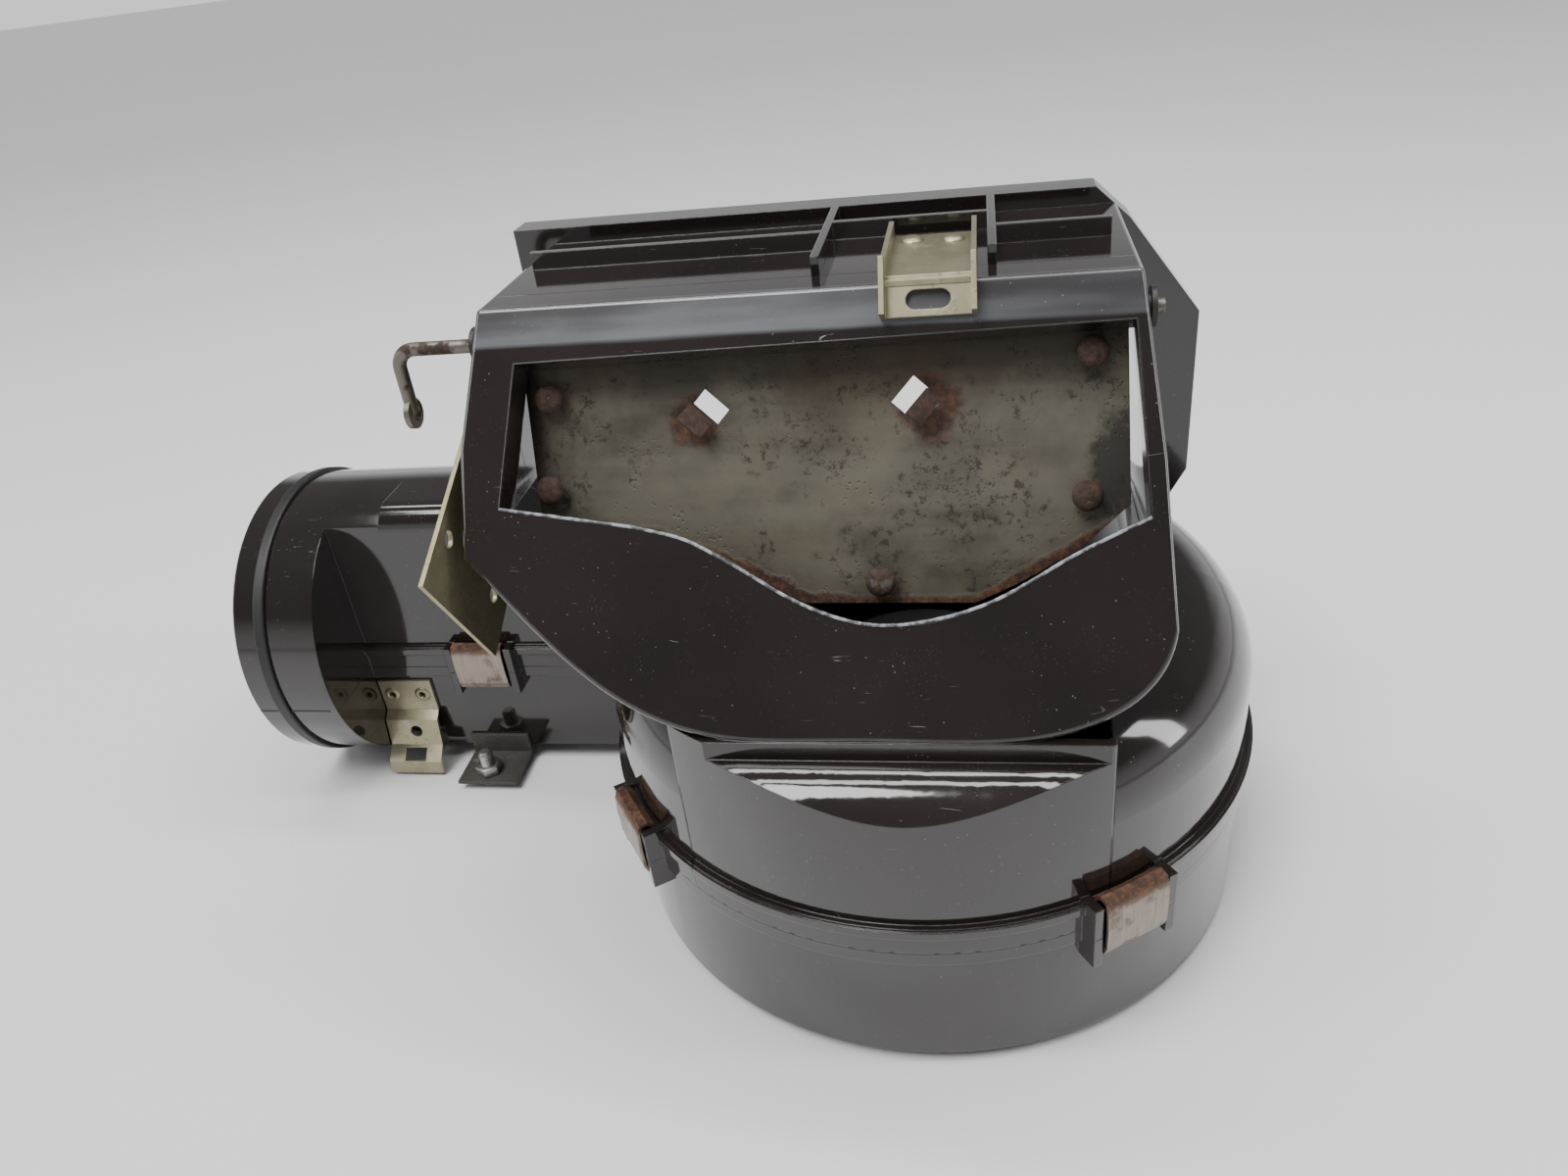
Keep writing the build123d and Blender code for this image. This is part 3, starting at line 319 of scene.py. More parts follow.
def aged_flap(name, look):
    """Olive-grey plated sheet, mottled and pitted, rusting from its lower edge, with painted shade under the
    spindle and along the left edge.
    """
    f = Finish(name, Specular_IOR_Level=0.5)
    up = f.along(FLAP_UP, HINGE)
    steel = tuple(look.steel)
    broad = f.noise(0.035, 5.0, 0.65)
    colour = f.blend(broad.ramp(0.34, 0.66), steel, tuple(c * 0.45 for c in steel))
    bands = f.noise(0.022, 4.0, 0.6, (0.25, 2.2, 2.2), 0.06).ramp(0.45, 0.62)
    colour = f.blend(bands * 0.4, colour, (0.20, 0.19, 0.15))
    warm = f.noise(0.03, 2.0).ramp(0.42, 0.66) * up.ramp(-45.0, -15.0)
    colour = f.blend(warm * 0.6, colour, (0.075, 0.052, 0.032))
    # Painted shade: darker towards the top under the spindle and towards the left edge.
    painted_shade = (up + (broad - 0.5) * 26.0).ramp(-20.0, -4.0).higher((f.x + broad * 24.0).ramp(-66.0, -86.0))
    colour = f.blend(painted_shade * 0.5, colour, (0.055, 0.045, 0.034))
    pits = f.specks(0.7, 0.30, 0.58)
    fine = f.noise(0.40, 6.0, 0.8).ramp(0.52, 0.60) * f.noise(0.05, 4.0, 0.65).ramp(0.50, 0.58)
    colour = f.blend(pits * 0.6, colour, (0.030, 0.020, 0.017))
    colour = f.blend(fine * 0.75, colour, (0.034, 0.025, 0.020))
    # Rust creeps up from the lower edge, most on the left of the curve.
    above = up - flap_lower_edge(f)
    creep = f.noise(0.16, 5.0, 0.7)
    reach = 0.3 + creep * look.rust * 3.2 * (1.0 + abs(f.x + 32.0).ramp(24.0, 4.0) * 1.6)
    rust = (above - reach).ramp(0.9, -0.9) * abs(f.x).ramp(75.0, 55.0)
    # Stains round the two slots, and a black stain at the right.
    for slot_x, slot_h, size in ((-49.5, -20.8, 7.5), (7.0, -20.0, 9.5)):
        away = ((f.x - slot_x) ** 2.0 + (up - slot_h) ** 2.0) ** 0.5
        stain = (away + (creep - 0.5) * 9.0).ramp(size, size * 0.62)
        rust = rust.higher(stain * 0.85)
    rusty = f.blend(f.noise(0.5, 4.0, 0.7).ramp(0.35, 0.7), (0.026, 0.012, 0.008), (0.110, 0.045, 0.020))
    colour = f.blend(rust, colour, rusty)
    right = ((f.x - 49.5) ** 2.0 + ((up + 34.0) * 0.45) ** 2.0) ** 0.5
    black = (right + (f.noise(0.13, 5.0, 0.7) - 0.5) * 14.0).ramp(8.0, 4.0)
    # Painted shade: near black along the far left edge and just under the spindle, laid on together with the
    # black stain.
    side = (f.x + (creep - 0.5) * 6.0).ramp(-86.0, -93.0).higher(up.ramp(-7.0, -2.0) * 0.6)
    colour = f.blend(black.higher(side) * 0.85, colour, (0.012, 0.010, 0.009))
    rough = 0.42 + broad * 0.2 + rust * 0.35 + pits * 0.2
    height = f.noise(0.6, 4.0, 0.6) * 0.5 + rust * f.noise(1.2, 4.0, 0.7) * 2.2 - pits * 0.8
    metal = (0.55 - rust * 0.55 - pits * 0.3 - black * 0.4).higher(0.0)
    return f.done(colour, rough.lower(0.95), metal, height, 0.10, edge=0.3)


def rusted_steel(name, bright=0.0):
    """Brown rust over steel, with some bare metal where bright is above 0."""
    f = Finish(name)
    grain = f.noise(0.55, 5.0, 0.7)
    colour = f.blend(grain.ramp(0.3, 0.7), (0.022, 0.013, 0.010), (0.075, 0.040, 0.026))
    bare = f.noise(0.16, 4.0, 0.6).ramp(0.62 - 0.4 * bright, 0.72 - 0.4 * bright)
    colour = f.blend(bare, colour, (0.17, 0.155, 0.135))
    rough = 0.85 - bare * 0.45
    return f.done(colour, rough, bare * 0.8, grain, 0.18, edge=0.15)


def plated_steel(name, tint, stain, metal=0.85, rough=0.32, stains=0.5):
    """Zinc-plated sheet with a coloured passivation, water marks and white bloom."""
    f = Finish(name)
    cloud = f.noise(0.05, 5.0, 0.65)
    colour = f.blend(cloud.ramp(0.35, 0.65), tint, tuple(0.72 * c for c in tint))
    bloom = f.noise(0.11, 5.0, 0.7).ramp(0.56, 0.72)
    colour = f.blend(bloom * 0.45 * stains, colour, (0.62, 0.61, 0.57))
    spots = f.specks(0.55, 0.3, 0.5)
    colour = f.blend((spots * 0.8 + f.noise(0.2, 4.0, 0.7).ramp(0.6, 0.75) * 0.5) * stains, colour, stain)
    brushed = f.noise(0.4, 2.0, 0.5, (0.15, 3.0, 3.0))
    roughness = rough + cloud * 0.12 + spots * 0.2 + brushed * 0.06
    height = f.noise(0.12, 3.0) * 0.6 + spots * 0.4
    return f.done(colour, roughness, metal - bloom * 0.3 * stains, height, 0.06, edge=0.25)


def spring_clip_steel(name):
    """Bare spring steel: orange rust over the top bend, plain metal on the front."""
    f = Finish(name)
    grain = f.noise(0.35, 5.0, 0.7)
    top = (f.z + (grain - 0.5) * 5.0).ramp(49.0, 51.6)
    patch = f.noise(0.12, 4.0, 0.6).ramp(0.50, 0.66)
    rust = top.higher(patch * 0.6)
    metal = f.blend(f.noise(0.7, 2.0, 0.5, (3.0, 3.0, 0.1)), (0.40, 0.36, 0.31), (0.20, 0.155, 0.125))
    rusty = f.blend(grain.ramp(0.4, 0.7), (0.055, 0.027, 0.017), (0.19, 0.095, 0.050))
    return f.done(f.blend(rust, metal, rusty), 0.34 + rust * 0.45, 0.9 - rust * 0.75, grain, 0.10, edge=0.12)


def plain_metal(name, colour, rough=0.3, brushed=(1, 1, 1), metal=1.0):
    """Machined or plated metal with fine turning marks."""
    f = Finish(name)
    fine = f.noise(0.8, 3.0, 0.6, brushed)
    cloud = f.noise(0.08, 3.0)
    tone = f.blend(cloud.ramp(0.35, 0.65), colour, tuple(0.7 * c for c in colour))
    return f.done(tone, rough + fine * 0.18, metal, fine, 0.03, edge=0.15)


def soft_black(name, colour, rough=0.55, grain=0.8, depth=0.05):
    """Rubber, foam and satin plastic: near black with a fine grain."""
    f = Finish(name)
    fine = f.noise(grain, 4.0, 0.6)
    dust = f.specks(0.8, 0.16, 0.5)
    tone = f.blend(f.noise(0.06, 3.0).ramp(0.3, 0.7), colour, tuple(1.6 * c for c in colour))
    tone = f.blend(dust * 0.25, tone, (0.3, 0.29, 0.27))
    return f.done(tone, rough + fine * 0.15, 0.0, fine, depth, edge=0.2)


def laminated_core(name):
    """Stacked core plates of the armature, with varnish between them."""
    f = Finish(name)
    plates = (f.z * 1.4).fraction()
    line = abs(plates - 0.5).ramp(0.38, 0.5)
    tone = f.blend(line, (0.30, 0.28, 0.26), (0.04, 0.025, 0.015))
    return f.done(tone, 0.45 + line * 0.3, 0.8 - line * 0.8, 1.0 - line, 0.08)


def pale_floor(name, colour):
    """Plain pale studio floor."""
    f = Finish(name, Specular_IOR_Level=0.2)
    cloud = f.noise(0.004, 2.0)
    return f.done(f.blend(cloud, colour, tuple(0.96 * c for c in colour)), 0.6, 0.0)


# ---------------------------------------------------------------------------
# Shapes
# ---------------------------------------------------------------------------
def dress(material, *names):
    """Give carried-over nodes a material."""
    for name in names:
        for slot in NODES[name].material_slots:
            slot.link = "OBJECT"
            slot.material = material


def piece(name, bm, material, body, replaces=()):
    """Turn a bmesh into a finished piece that rides on a body."""
    bmesh.ops.remove_doubles(bm, verts=bm.verts, dist=1e-7)
    bmesh.ops.recalc_face_normals(bm, faces=bm.faces)
    mesh = bpy.data.meshes.new(name)
    bm.to_mesh(mesh)
    bm.free()
    mesh.materials.append(material)
    mesh.polygons.foreach_set("use_smooth", [True] * len(mesh.polygons))
    mesh.set_sharp_from_angle(angle=SHARP_ANGLE)
    made = bpy.data.objects.new(name, mesh)
    bpy.context.scene.collection.objects.link(made)
    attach(made, body)
    if replaces:
        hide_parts(*replaces)


def place_on(origin, right, out):
    """Matrix whose X runs along right and whose Z points out of a surface."""
    across = Vector(right).normalized()
    normal = Vector(out).normalized()
    turned = Matrix((across, normal.cross(across), normal)).transposed().to_4x4()
    return Matrix.Translation(origin) @ turned


def spin_shape(bm, profile, where, steps=32):
    """Spin a (radius, height) profile in millimetres round the Z axis of a place."""
    verts = [bm.verts.new((r * MM, 0.0, h * MM)) for r, h in profile]
    edges = [bm.edges.new(pair) for pair in zip(verts, verts[1:])]
    bmesh.ops.spin(
        bm,
        geom=verts + edges,
        cent=(0, 0, 0),
        axis=(0, 0, 1),
        angle=2 * pi,
        steps=steps,
        use_merge=True,
    )
    faces = {f for v in verts for f in v.link_faces}
    walk = list(faces)
    while walk:
        for edge in walk.pop().edges:
            for face in edge.link_faces:
                if face not in faces:
                    faces.add(face)
                    walk.append(face)
    found = list({v for f in faces for v in f.verts})
    bmesh.ops.remove_doubles(bm, verts=found, dist=1e-7)
    found = [v for v in found if v.is_valid]
    bmesh.ops.transform(bm, matrix=where, verts=found)


def block(bm, size, where, round_by=0.0, segments=2):
    """A box of a size in millimetres, with rounded edges, centred on a place."""
    verts = bmesh.ops.create_cube(bm, size=1.0)["verts"]
    bmesh.ops.scale(bm, vec=Vector(size) * MM, verts=verts)
    if round_by:
        edges = list({e for v in verts for e in v.link_edges})
        beveled = bmesh.ops.bevel(
            bm,
            geom=verts + edges,
            offset=round_by * MM,
            segments=segments,
            profile=0.5,
            affect="EDGES",
            material=-1,
            clamp_overlap=True,
        )
        verts = list({v for f in beveled["faces"] for v in f.verts} | {v for v in verts if v.is_valid})
        whole = set(verts)
        for v in verts:
            for e in v.link_edges:
                whole.update(e.verts)
        verts = list(whole)
    bmesh.ops.transform(bm, matrix=where, verts=verts)


def run_along(bm, points, radius, flat=Vector((0, 0, 1))):
    """An eight-sided bead swept along points, closed at its ends; radius in millimetres."""
    first = (points[1] - points[0]).normalized()
    side = flat.cross(first).normalized()
    start = Matrix((side, first.cross(side), first)).transposed().to_4x4()
    ring = bmesh.ops.create_circle(
        bm, cap_ends=True, radius=radius * MM, segments=8, matrix=Matrix.Translation(points[0]) @ start
    )
    face = ring["verts"][0].link_faces[0]
    heading = first
    for index, (here, there) in enumerate(zip(points, points[1:])):
        onward = points[index + 2] if index + 2 < len(points) else there + (there - here)
        facing = ((there - here).normalized() + (onward - there).normalized()).normalized()
        grown = bmesh.ops.extrude_face_region(bm, geom=[face])
        verts = [v for v in grown["geom"] if isinstance(v, bmesh.types.BMVert)]
        if index:
            bmesh.ops.delete(bm, geom=[face], context="FACES_ONLY")
        face = next(g for g in grown["geom"] if isinstance(g, bmesh.types.BMFace))
        bmesh.ops.translate(bm, verts=verts, vec=there - here)
        turn = heading.rotation_difference(facing).to_matrix()
        bmesh.ops.rotate(bm, verts=verts, cent=there, matrix=turn)
        heading = facing


def on_panel(x, up, out=0.0):
    """A point on the sloping panel, from millimetres across and up it."""
    return Vector((x * MM, 0, 0)) + PANEL_FOOT + PANEL_UP * up * MM + PANEL_OUT * out * MM


def on_flap(x, up, out=0.0):
    """A point on the flap's front face, from millimetres across and up from the spindle."""
    return Vector((x * MM, 0, 0)) + HINGE + FLAP_UP * up * MM + FLAP_OUT * (FLAP_FACE + out * MM)


def smooth_run(points, steps=6):
    """Points along a smooth curve through the given ones."""
    ends = [points[0] * 2 - points[1], *points, points[-1] * 2 - points[-2]]
    run = []
    for a, b, c, d in zip(ends, ends[1:], ends[2:], ends[3:]):
        for step in range(steps):
            t = step / steps
            bend = (2 * a - 5 * b + 4 * c - d) * t * t
            twist = (3 * b - a - 3 * c + d) * t ** 3
            run.append(0.5 * (2 * b + (c - a) * t + bend + twist))
    return [*run, points[-1]]


# ---------------------------------------------------------------------------
# Settings
# ---------------------------------------------------------------------------
class PlasticLook(bpy.types.PropertyGroup):
    colour: FloatVectorProperty(
        name="Plastic colour",
        description="Colour of the moulded plastic",
        subtype="COLOR",
        default=(0.0125, 0.0092, 0.0085),
        min=0.0,
        max=1.0,
    )
    gloss_index: FloatProperty(
        name="Gloss index",
        description="Refractive index of the moulding's skin; higher is shinier",
        default=1.52,
        min=1.3,
        max=2.2,
    )
    wear: FloatProperty(
        name="Wear",
        description="How many scratches and specks the mouldings carry",
        subtype="FACTOR",
        default=0.6,
        min=0.0,
        max=1.0,
    )
    lip_bead: FloatProperty(
        name="Lip bead",
        description="Half width of the worn edge round the intake opening, in millimetres",
        default=0.42,
        min=0.2,
        max=1.0,
    )


class FlapLook(bpy.types.PropertyGroup):
    steel: FloatVectorProperty(
        name="Flap steel",
        description="Colour of the flap's aged plating",
        subtype="COLOR",
        default=(0.150, 0.136, 0.100),
        min=0.0,
        max=1.0,
    )
    rust: FloatProperty(
        name="Rust",
        description="How far rust creeps up from the flap's lower edge",
        subtype="FACTOR",
        default=0.8,
        min=0.0,
        max=1.0,
    )
    rivet_radius: FloatProperty(
        name="Rivet radius",
        description="Radius of the domed rivet heads, in millimetres",
        default=3.6,
        min=2.0,
        max=5.0,
    )


class FittingLook(bpy.types.PropertyGroup):
    gold: FloatVectorProperty(
        name="Gold plating",
        description="Colour of the actuator bracket's plating",
        subtype="COLOR",
        default=(0.42, 0.385, 0.235),
        min=0.0,
        max=1.0,
    )
    nickel: FloatVectorProperty(
        name="Pale plating",
        description="Colour of the top and duct brackets' plating",
        subtype="COLOR",
        default=(0.40, 0.365, 0.245),
        min=0.0,
        max=1.0,
    )
    thread_turns: IntProperty(
        name="Thread turns",
        description="Number of thread crests on the duct stud",
        default=11,
        min=4,
        max=20,
    )


class StageLook(bpy.types.PropertyGroup):
    floor_colour: FloatVectorProperty(
        name="Floor",
        description="Colour of the studio floor",
        subtype="COLOR",
        default=(0.82, 0.82, 0.825),
        min=0.0,
        max=1.0,
    )
    light: FloatProperty(
        name="Light",
        description="Strength of the studio lights",
        default=1.0,
        min=0.1,
        max=4.0,
    )
    lens: FloatProperty(
        name="Lens",
        description="Focal length of the camera",
        subtype="DISTANCE_CAMERA",
        default=26.08,
        min=10.0,
        max=100.0,
    )


# ---------------------------------------------------------------------------
# Pieces
# ---------------------------------------------------------------------------
class BLOWER_OT_casing(bpy.types.Operator):
    """Finish the two casing halves and their seal ring, and add the spigot's edge and seam"""

    bl_idname = "blower.casing"
    bl_label = "Casing"

    def execute(self, context):
        plastic = moulded_plastic("casing_plastic_finish", context.scene.blower_plastic)
        dress(plastic, "lower_scroll_casing", "upper_scroll_casing")
        rubber = soft_black("seal_rubber_finish", (0.008, 0.008, 0.008), 0.38)
        dress(rubber, "spigot_seal_ring", "motor_gasket")
        low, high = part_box("spigot_seal_ring")
        middle = (low + high) / 2
        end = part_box("lower_scroll_casing")[0].x
        # Half the spigot's width at the height of the seam.
        drop = (SEAM_Z - middle.z) / MM
        reach = (SPIGOT_R ** 2 - drop ** 2) ** 0.5
        bm = bmesh.new()
        for side in (-1, 1):
            for begin, stop in ((end + 0.0012, low.x - 0.0002), (high.x + 0.0002, SPIGOT_ROOT)):
                rib = [
                    Vector((x, middle.y + side * (reach - 0.05) * MM, SEAM_Z))
                    for x in (begin, (begin + stop) / 2, stop)
                ]
                run_along(bm, rib, 0.4)
        piece("spigot_seam_lines", bm, plastic, "housing")
        return {"FINISHED"}


class BLOWER_OT_intake(bpy.types.Operator):
    """Finish the intake mouldings, with painted sheen on the panel's top band, and add the bead round the
    opening, worn and with a painted highlight
    """

    bl_idname = "blower.intake"
    bl_label = "Intake"

    def execute(self, context):
        look = context.scene.blower_plastic
        plastic = moulded_plastic("intake_plastic_finish", look, intake=True)
        dress(plastic, "intake_front_moulding", "intake_rear_moulding")
        # Pale bluish chips on the lip bead: partly wear, partly a painted highlight along the rounded edge
        # of the opening.
        worn = Finish("worn_highlight_edge_finish")
        chips_and_highlight = worn.noise(0.35, 4.0, 0.7).ramp(0.42, 0.6)
        tone = worn.blend(chips_and_highlight, (0.05, 0.052, 0.055), (0.34, 0.36, 0.39))
        edge = worn.done(tone, 0.32 + chips_and_highlight * 0.3, 0.0, worn.noise(0.6, 4.0, 0.7), 0.15)
        corners = [(-95.2, 57.0), (-61.5, 51.8)]
        curve = [
            (-49.5, 48.6),
            (-38.0, 42.5),
            (-20.3, 32.4),
            (-2.8, 28.2),
            (18.5, 32.3),
            (39.3, 43.5),
            (55.0, 51.0),
        ]
        lower = [on_panel(x, v, -0.15) for x, v in corners]
        bend = smooth_run([on_panel(x, v, -0.15) for x, v in [corners[-1], *curve]])
        bm = bmesh.new()
        run_along(bm, [lower[0], (lower[0] + lower[1]) / 2, *bend], look.lip_bead, PANEL_OUT)
        piece("opening_lower_edge", bm, edge, "housing")
        bm = bmesh.new()
        rim = [(-95.2, 57.4), (-91.0, 91.7), (52.7, 94.2), (55.0, 51.4)]
        for (x0, v0), (x1, v1) in zip(rim, rim[1:]):
            begin, stop = on_panel(x0, v0, -0.2), on_panel(x1, v1, -0.2)
            run_along(bm, [begin, (begin + stop) / 2, stop], look.lip_bead * 0.6, PANEL_OUT)
        piece("opening_upper_edge", bm, plastic, "housing")
        return {"FINISHED"}


class BLOWER_OT_flap(bpy.types.Operator):
    """Finish the flap, its seal and spindle, and add domed rivets and the lanced tabs"""

    bl_idname = "blower.flap"
    bl_label = "Flap"

    def execute(self, context):
        look = context.scene.blower_flap
        dress(aged_flap("flap_steel_finish", look), "flap_plate")
        dress(soft_black("foam_pad_finish", (0.016, 0.016, 0.017), 0.85, 0.5, 0.35), "flap_seal")
        dress(soft_black("bush_finish", (0.012, 0.011, 0.010), 0.4), "spindle_bushes")
        dress(rusted_steel("spindle_finish", 0.55), "flap_spindle")
        rusty = rusted_steel("rivet_finish")
        bm = bmesh.new()
        r = look.rivet_radius
        dome = [(0.0, 1.5), (0.42 * r, 1.38), (0.72 * r, 1.05), (0.92 * r, 0.55), (r, 0.0)]
        tail = [(1.5, 0.0), (1.5, -5.2), (r, -5.2), (r, -5.7), (0.85 * r, -6.2), (0.0, -6.2)]
        for x, up in ((-85.5, -14.1), (-86.8, -36.4), (-5.3, -60.6), (42.6, -41.6), (44.0, -9.2)):
            spin_shape(bm, dome + tail, place_on(on_flap(x, up), (1, 0, 0), FLAP_OUT), 24)
        piece("flap_domed_rivets", bm, rusty, "flap", ["flap_rivets"])
        bm = bmesh.new()
        for x, up, turn, side in ((-45.6, -17.5, -42.0, -1), (2.4, -16.9, 48.0, 1)):
            along = Vector((cos(radians(turn)), 0, 0)) + FLAP_UP * sin(radians(turn))
            across = FLAP_OUT.cross(along).normalized()
            if across.dot(FLAP_UP) > 0:
                across = -across
            foot = on_flap(x, up, 0.55) + across * 4.9 * MM
            lean = Matrix.Rotation(radians(16) * side, 4, "X")
            where = place_on(foot, along, FLAP_OUT) @ lean
            block(bm, (7.6, 4.6, 0.9), where, 0.35, 3)
            root = place_on(on_flap(x, up, 0.25) + across * 2.7 * MM, along, FLAP_OUT)
            block(bm, (7.8, 1.0, 0.7), root, 0.3, 2)
        piece("flap_lanced_tabs", bm, rusty, "flap")
        return {"FINISHED"}


class BLOWER_OT_fittings(bpy.types.Operator):
    """Finish the brackets and add their eyelets, screws, stud thread and nut"""

    bl_idname = "blower.fittings"
    bl_label = "Brackets and fittings"

    def execute(self, context):
        look = context.scene.blower_fittings
        gold = plated_steel("gold_plate_finish", tuple(look.gold), (0.14, 0.13, 0.09), 0.75, 0.36)
        pale = plated_steel("pale_plate_finish", tuple(look.nickel), (0.20, 0.17, 0.11), 0.8, 0.30)
        zinc = plain_metal("zinc_finish", (0.46, 0.46, 0.44), 0.32)
        dress(gold, "actuator_bracket")
        dress(pale, "top_bracket", "duct_bracket")
        dull = plated_steel("dull_zinc_finish", (0.10, 0.095, 0.085), (0.05, 0.035, 0.025), 0.6, 0.55)
        dress(dull, "stud_bracket")
        # Top bracket rivets: low domes on the plate.
        low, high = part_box("top_bracket_rivets")
        head = [(0.0, 1.2), (1.6, 1.05), (2.6, 0.6), (3.0, 0.0), (1.5, 0.0), (1.5, -3.6), (0.0, -3.6)]
        inset = 0.003
        bm = bmesh.new()
        for x, y in ((low.x + inset, high.y - inset), (high.x - inset, low.y + inset)):
            spin_shape(bm, head, place_on(Vector((x, y, high.z - 0.0013)), (1, 0, 0), (0, 0, 1)), 24)
        piece("top_bracket_domed_rivets", bm, pale, "housing", ["top_bracket_rivets"])
        # Eyelets: rolled rims over the duct bracket.
        low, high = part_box("duct_bracket_eyelets")
        crest = [(1.1, 0.25), (1.35, 0.55), (1.8, 0.66), (2.4, 0.5), (2.9, 0.0)]
        rim = [(1.1, -1.2), *crest, (1.8, 0.0), (1.8, -1.2), (1.1, -1.2)]
        bm = bmesh.new()
        for x in (low.x + inset, high.x - inset):
            centre = Vector((x, low.y + 0.0006, (low.z + high.z) / 2))
            spin_shape(bm, rim, place_on(centre, (1, 0, 0), (0, -1, 0)), 28)
        piece("duct_bracket_rolled_eyelets", bm, pale, "housing", ["duct_bracket_eyelets"])
        # Pan-head screws in the actuator bracket, with a crossed recess.
        low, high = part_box("actuator_bracket_screws")
        pan = [(0.0, 0.55), (0.75, 0.6), (0.95, 1.2), (2.2, 1.1), (3.0, 0.7), (3.2, 0.0)]
        shank = [(1.5, 0.0), (1.5, -7.6), (0.0, -7.6)]
        bm = bmesh.new()
        for z in (high.z - 0.0032, low.z + 0.0032):
            centre = Vector((low.x + 0.0012, (low.y + high.y) / 2, z))
            spin_shape(bm, pan + shank, place_on(centre, (0, 1, 0), (-1, 0, 0)), 24)
            for turn in (20, 110):
                along = (0, cos(radians(turn)), sin(radians(turn)))
                slit = place_on(centre + Vector((-0.00112, 0, 0)), along, (-1, 0, 0))
                block(bm, (3.4, 0.55, 0.12), slit)
        piece("actuator_bracket_pan_screws", bm, zinc, "housing", ["actuator_bracket_screws"])
        # Stud: thread crests above the nut, plain head below.
        low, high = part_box("mounting_stud")
        axis = (low + high) / 2
        tall = (high.z - low.z) / MM
        profile = [(0.0, 0.0), (4.5, 0.0), (4.5, 1.5), (2.35, 1.5)]
        pitch = (tall - 2.4) / look.thread_turns
        for turn in range(look.thread_turns):
            base = 1.6 + turn * pitch
            profile += [(2.12, base), (2.5, base + 0.4 * pitch), (2.5, base + 0.55 * pitch)]
        profile += [(2.1, tall - 0.6), (1.7, tall), (0.0, tall)]
        bm = bmesh.new()
        spin_shape(bm, profile, place_on(Vector((axis.x, axis.y, low.z)), (1, 0, 0), (0, 0, 1)), 28)
        piece("threaded_stud", bm, zinc, "housing", ["mounting_stud"])
        # Nut: chamfered hexagon.
        low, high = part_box("stud_nut")
        axis = (low + high) / 2
        corner_r, hole_r = 4.62 * MM, 2.52 * MM
        bm = bmesh.new()
        ring = bmesh.ops.create_cone(
            bm, cap_ends=False, segments=6, radius1=corner_r, radius2=corner_r, depth=high.z - low.z
        )
        bmesh.ops.translate(bm, verts=ring["verts"], vec=axis)
        rims = [e for e in bm.edges if e.is_boundary]
        for half in (1, -1):
            loop = [e for e in rims if (e.verts[0].co.z - axis.z) * half > 0]
            grown = bmesh.ops.extrude_edge_only(bm, edges=loop)
            verts = [v for v in grown["geom"] if isinstance(v, bmesh.types.BMVert)]
            for v in verts:
                flat = Vector((v.co.x - axis.x, v.co.y - axis.y, 0)).normalized()
                v.co = Vector((axis.x, axis.y, v.co.z)) + flat * hole_r
        level = [e for e in bm.edges if abs(e.verts[0].co.z - e.verts[1].co.z) < 1e-6]
        bmesh.ops.bevel(
            bm,
            geom=[e for e in level if e.calc_length() > 0.004],
            offset=0.35 * MM,
            segments=2,
            profile=0.5,
            affect="EDGES",
            material=-1,
        )
        open_rims = [e for e in bm.edges if e.is_boundary]
        bmesh.ops.bridge_loops(bm, edges=open_rims)
        piece("stud_hex_nut", bm, zinc, "housing", ["stud_nut"])
        return {"FINISHED"}


class BLOWER_OT_clips(bpy.types.Operator):
    """Finish the spring clips that hold the casing halves together"""

    bl_idname = "blower.clips"
    bl_label = "Casing clips"

    def execute(self, context):
        dress(spring_clip_steel("clip_steel_finish"), "casing_clips")
        return {"FINISHED"}


class BLOWER_OT_motor(bpy.types.Operator):
    """Finish the motor and its fan, and wind the armature"""

    bl_idname = "blower.motor"
    bl_label = "Motor and fan"

    def execute(self, context):
        zinc = plain_metal("motor_zinc_finish", (0.44, 0.44, 0.42), 0.34)
        dress(zinc, "motor_plate", "motor_screws", "motor_shaft")
        dress(plain_metal("motor_can_finish", (0.24, 0.24, 0.23), 0.36, (3, 3, 0.2)), "motor_can")
        dress(soft_black("magnet_finish", (0.03, 0.03, 0.032), 0.6, 0.9, 0.1), "motor_magnets")
        dress(soft_black("carrier_finish", (0.055, 0.028, 0.014), 0.45), "motor_brush_carrier")
        dress(plain_metal("brass_finish", (0.62, 0.45, 0.17), 0.25), "motor_terminals")
        dress(laminated_core("core_finish"), "motor_armature")
        dress(soft_black("impeller_finish", (0.014, 0.013, 0.012), 0.42, 0.5, 0.03), "impeller")
        dress(rusted_steel("fan_clip_finish", 0.8), "impeller_clip")
        copper = plain_metal("winding_finish", (0.55, 0.22, 0.09), 0.3, (1, 1, 4))
        low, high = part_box("motor_armature")
        bm = bmesh.new()
        top = high.z / MM
        crown = [(10.0, top), (10.5, top + 2.2), (12.5, top + 3.4), (15.0, top + 2.8), (16.2, top)]
        spin_shape(bm, crown + [(10.0, top)], Matrix.Identity(4), 36)
        piece("armature_winding", bm, copper, "fan")
        return {"FINISHED"}


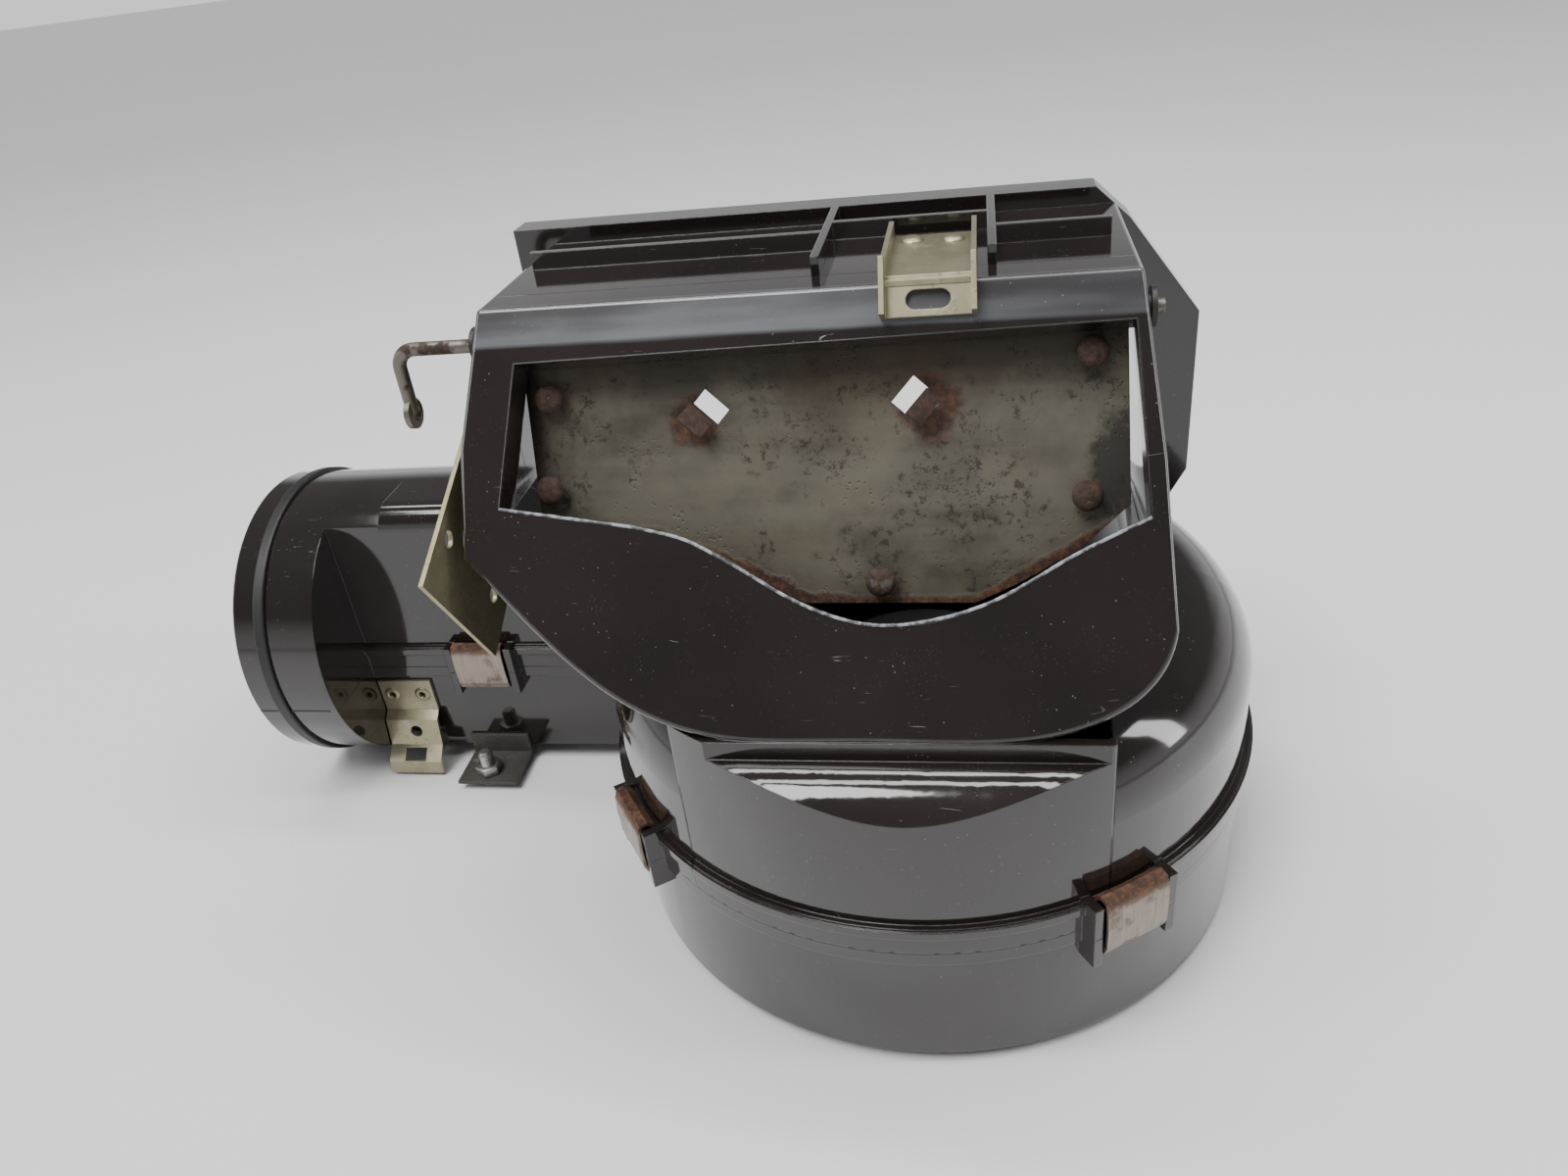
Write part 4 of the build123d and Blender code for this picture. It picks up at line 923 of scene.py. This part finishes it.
class BLOWER_OT_stage(bpy.types.Operator):
    """Set the floor, the lights and the camera"""

    bl_idname = "blower.stage"
    bl_label = "Stage"

    def execute(self, context):
        look = context.scene.blower_stage
        bm = bmesh.new()
        floor_radius = 14.0
        bmesh.ops.create_circle(bm, cap_ends=True, radius=floor_radius, segments=64)
        mesh = bpy.data.meshes.new("studio_floor")
        bm.to_mesh(mesh)
        bm.free()
        mesh.materials.append(pale_floor("floor_finish", tuple(look.floor_colour)))
        floor = bpy.data.objects.new("studio_floor", mesh)
        context.scene.collection.objects.link(floor)
        self.sky(context)
        centre = Vector((-0.07, 0.0, 0.08))
        for name, place, size, watts in (
            ("back_strip", (-0.05, 0.30, 1.25), (1.6, 0.16), 8.0),
            ("front_strip", (-0.05, -0.15, 1.20), (1.5, 0.14), 7.0),
            ("left_panel", (-1.35, -0.45, 0.75), (0.5, 0.5), 4.0),
            ("right_strip", (1.15, -0.10, 0.55), (0.18, 0.8), 4.0),
        ):
            lamp = bpy.data.lights.new(name, "AREA")
            lamp.shape = "RECTANGLE"
            lamp.size, lamp.size_y = size
            lamp.energy = watts * look.light
            made = bpy.data.objects.new(name, lamp)
            made.location = place
            made.rotation_euler = (centre - Vector(place)).to_track_quat("-Z", "Y").to_euler()
            context.scene.collection.objects.link(made)
        sun = bpy.data.lights.new("soft_sun", "SUN")
        sun.energy = 2.0 * look.light
        sun.angle = radians(25)
        made = bpy.data.objects.new("soft_sun", sun)
        made.rotation_euler = (radians(28), 0, radians(-35))
        context.scene.collection.objects.link(made)
        self.camera(context, look.lens)
        return {"FINISHED"}

    def sky(self, context):
        """Soft surround: pale near the horizon, dimmer overhead."""
        world = bpy.data.worlds.new("studio_surround")
        context.scene.world = world
        world.use_nodes = True
        tree = world.node_tree
        direction = tree.nodes.new("ShaderNodeTexCoord")
        split = tree.nodes.new("ShaderNodeSeparateXYZ")
        ramp = tree.nodes.new("ShaderNodeValToRGB")
        tree.links.new(direction.outputs["Generated"], split.inputs[0])
        tree.links.new(split.outputs["Z"], ramp.inputs[0])
        stops = ((0.0, 0.95), (0.16, 0.72), (0.34, 0.16), (1.0, 0.22))
        while len(ramp.color_ramp.elements) < len(stops):
            ramp.color_ramp.elements.new(0.5)
        for element, (position, grey) in zip(ramp.color_ramp.elements, stops):
            element.position = position
            element.color = (grey, grey, grey * 1.02, 1.0)
        tree.links.new(ramp.outputs[0], tree.nodes["Background"].inputs[0])

    def camera(self, context, lens):
        """Camera in front and above, looking slightly left and rolled a little."""
        yaw, pitch, roll = radians(12), radians(31), radians(7.2)
        ahead = Vector((-sin(yaw) * cos(pitch), cos(yaw) * cos(pitch), -sin(pitch)))
        level = Vector((cos(yaw), sin(yaw), 0))
        below = ahead.cross(level)
        right = level * cos(roll) + below * sin(roll)
        down = below * cos(roll) - level * sin(roll)
        data = bpy.data.cameras.new("studio_camera")
        data.lens = lens
        data.sensor_width = 36.0
        data.clip_start = 0.01
        place = (0.0202, -0.276, 0.2581)
        made = bpy.data.objects.new("studio_camera", data)
        turned = Matrix((right, -down, -ahead)).transposed().to_4x4()
        made.matrix_world = Matrix.Translation(place) @ turned
        context.scene.collection.objects.link(made)
        context.scene.camera = made


class BLOWER_PT_panel(bpy.types.Panel):
    """Lists the pieces of the blower housing and their settings"""

    bl_label = "Blower Housing"
    bl_idname = "BLOWER_PT_panel"
    bl_space_type = "VIEW_3D"
    bl_region_type = "UI"
    bl_category = "Blower"

    def draw(self, context):
        scene = context.scene
        for operator in OPERATORS:
            self.layout.operator(operator.bl_idname)
        for group in (scene.blower_plastic, scene.blower_flap, scene.blower_fittings, scene.blower_stage):
            box = self.layout.box()
            for name in group.__annotations__:
                box.prop(group, name)


OPERATORS = (
    BLOWER_OT_casing,
    BLOWER_OT_intake,
    BLOWER_OT_flap,
    BLOWER_OT_fittings,
    BLOWER_OT_clips,
    BLOWER_OT_motor,
    BLOWER_OT_stage,
)
GROUPS = {
    "blower_plastic": PlasticLook,
    "blower_flap": FlapLook,
    "blower_fittings": FittingLook,
    "blower_stage": StageLook,
}


def register():
    for group in GROUPS.values():
        bpy.utils.register_class(group)
    for name, group in GROUPS.items():
        setattr(bpy.types.Scene, name, PointerProperty(type=group))
    for operator in OPERATORS:
        bpy.utils.register_class(operator)
    bpy.utils.register_class(BLOWER_PT_panel)


def unregister():
    bpy.utils.unregister_class(BLOWER_PT_panel)
    for operator in reversed(OPERATORS):
        bpy.utils.unregister_class(operator)
    for name in GROUPS:
        delattr(bpy.types.Scene, name)
    for group in reversed(list(GROUPS.values())):
        bpy.utils.unregister_class(group)


def main():
    register()
    bpy.ops.blower.casing()
    bpy.ops.blower.intake()
    bpy.ops.blower.flap()
    bpy.ops.blower.fittings()
    bpy.ops.blower.clips()
    bpy.ops.blower.motor()
    bpy.ops.blower.stage()


if __name__ == "__main__":
    main()
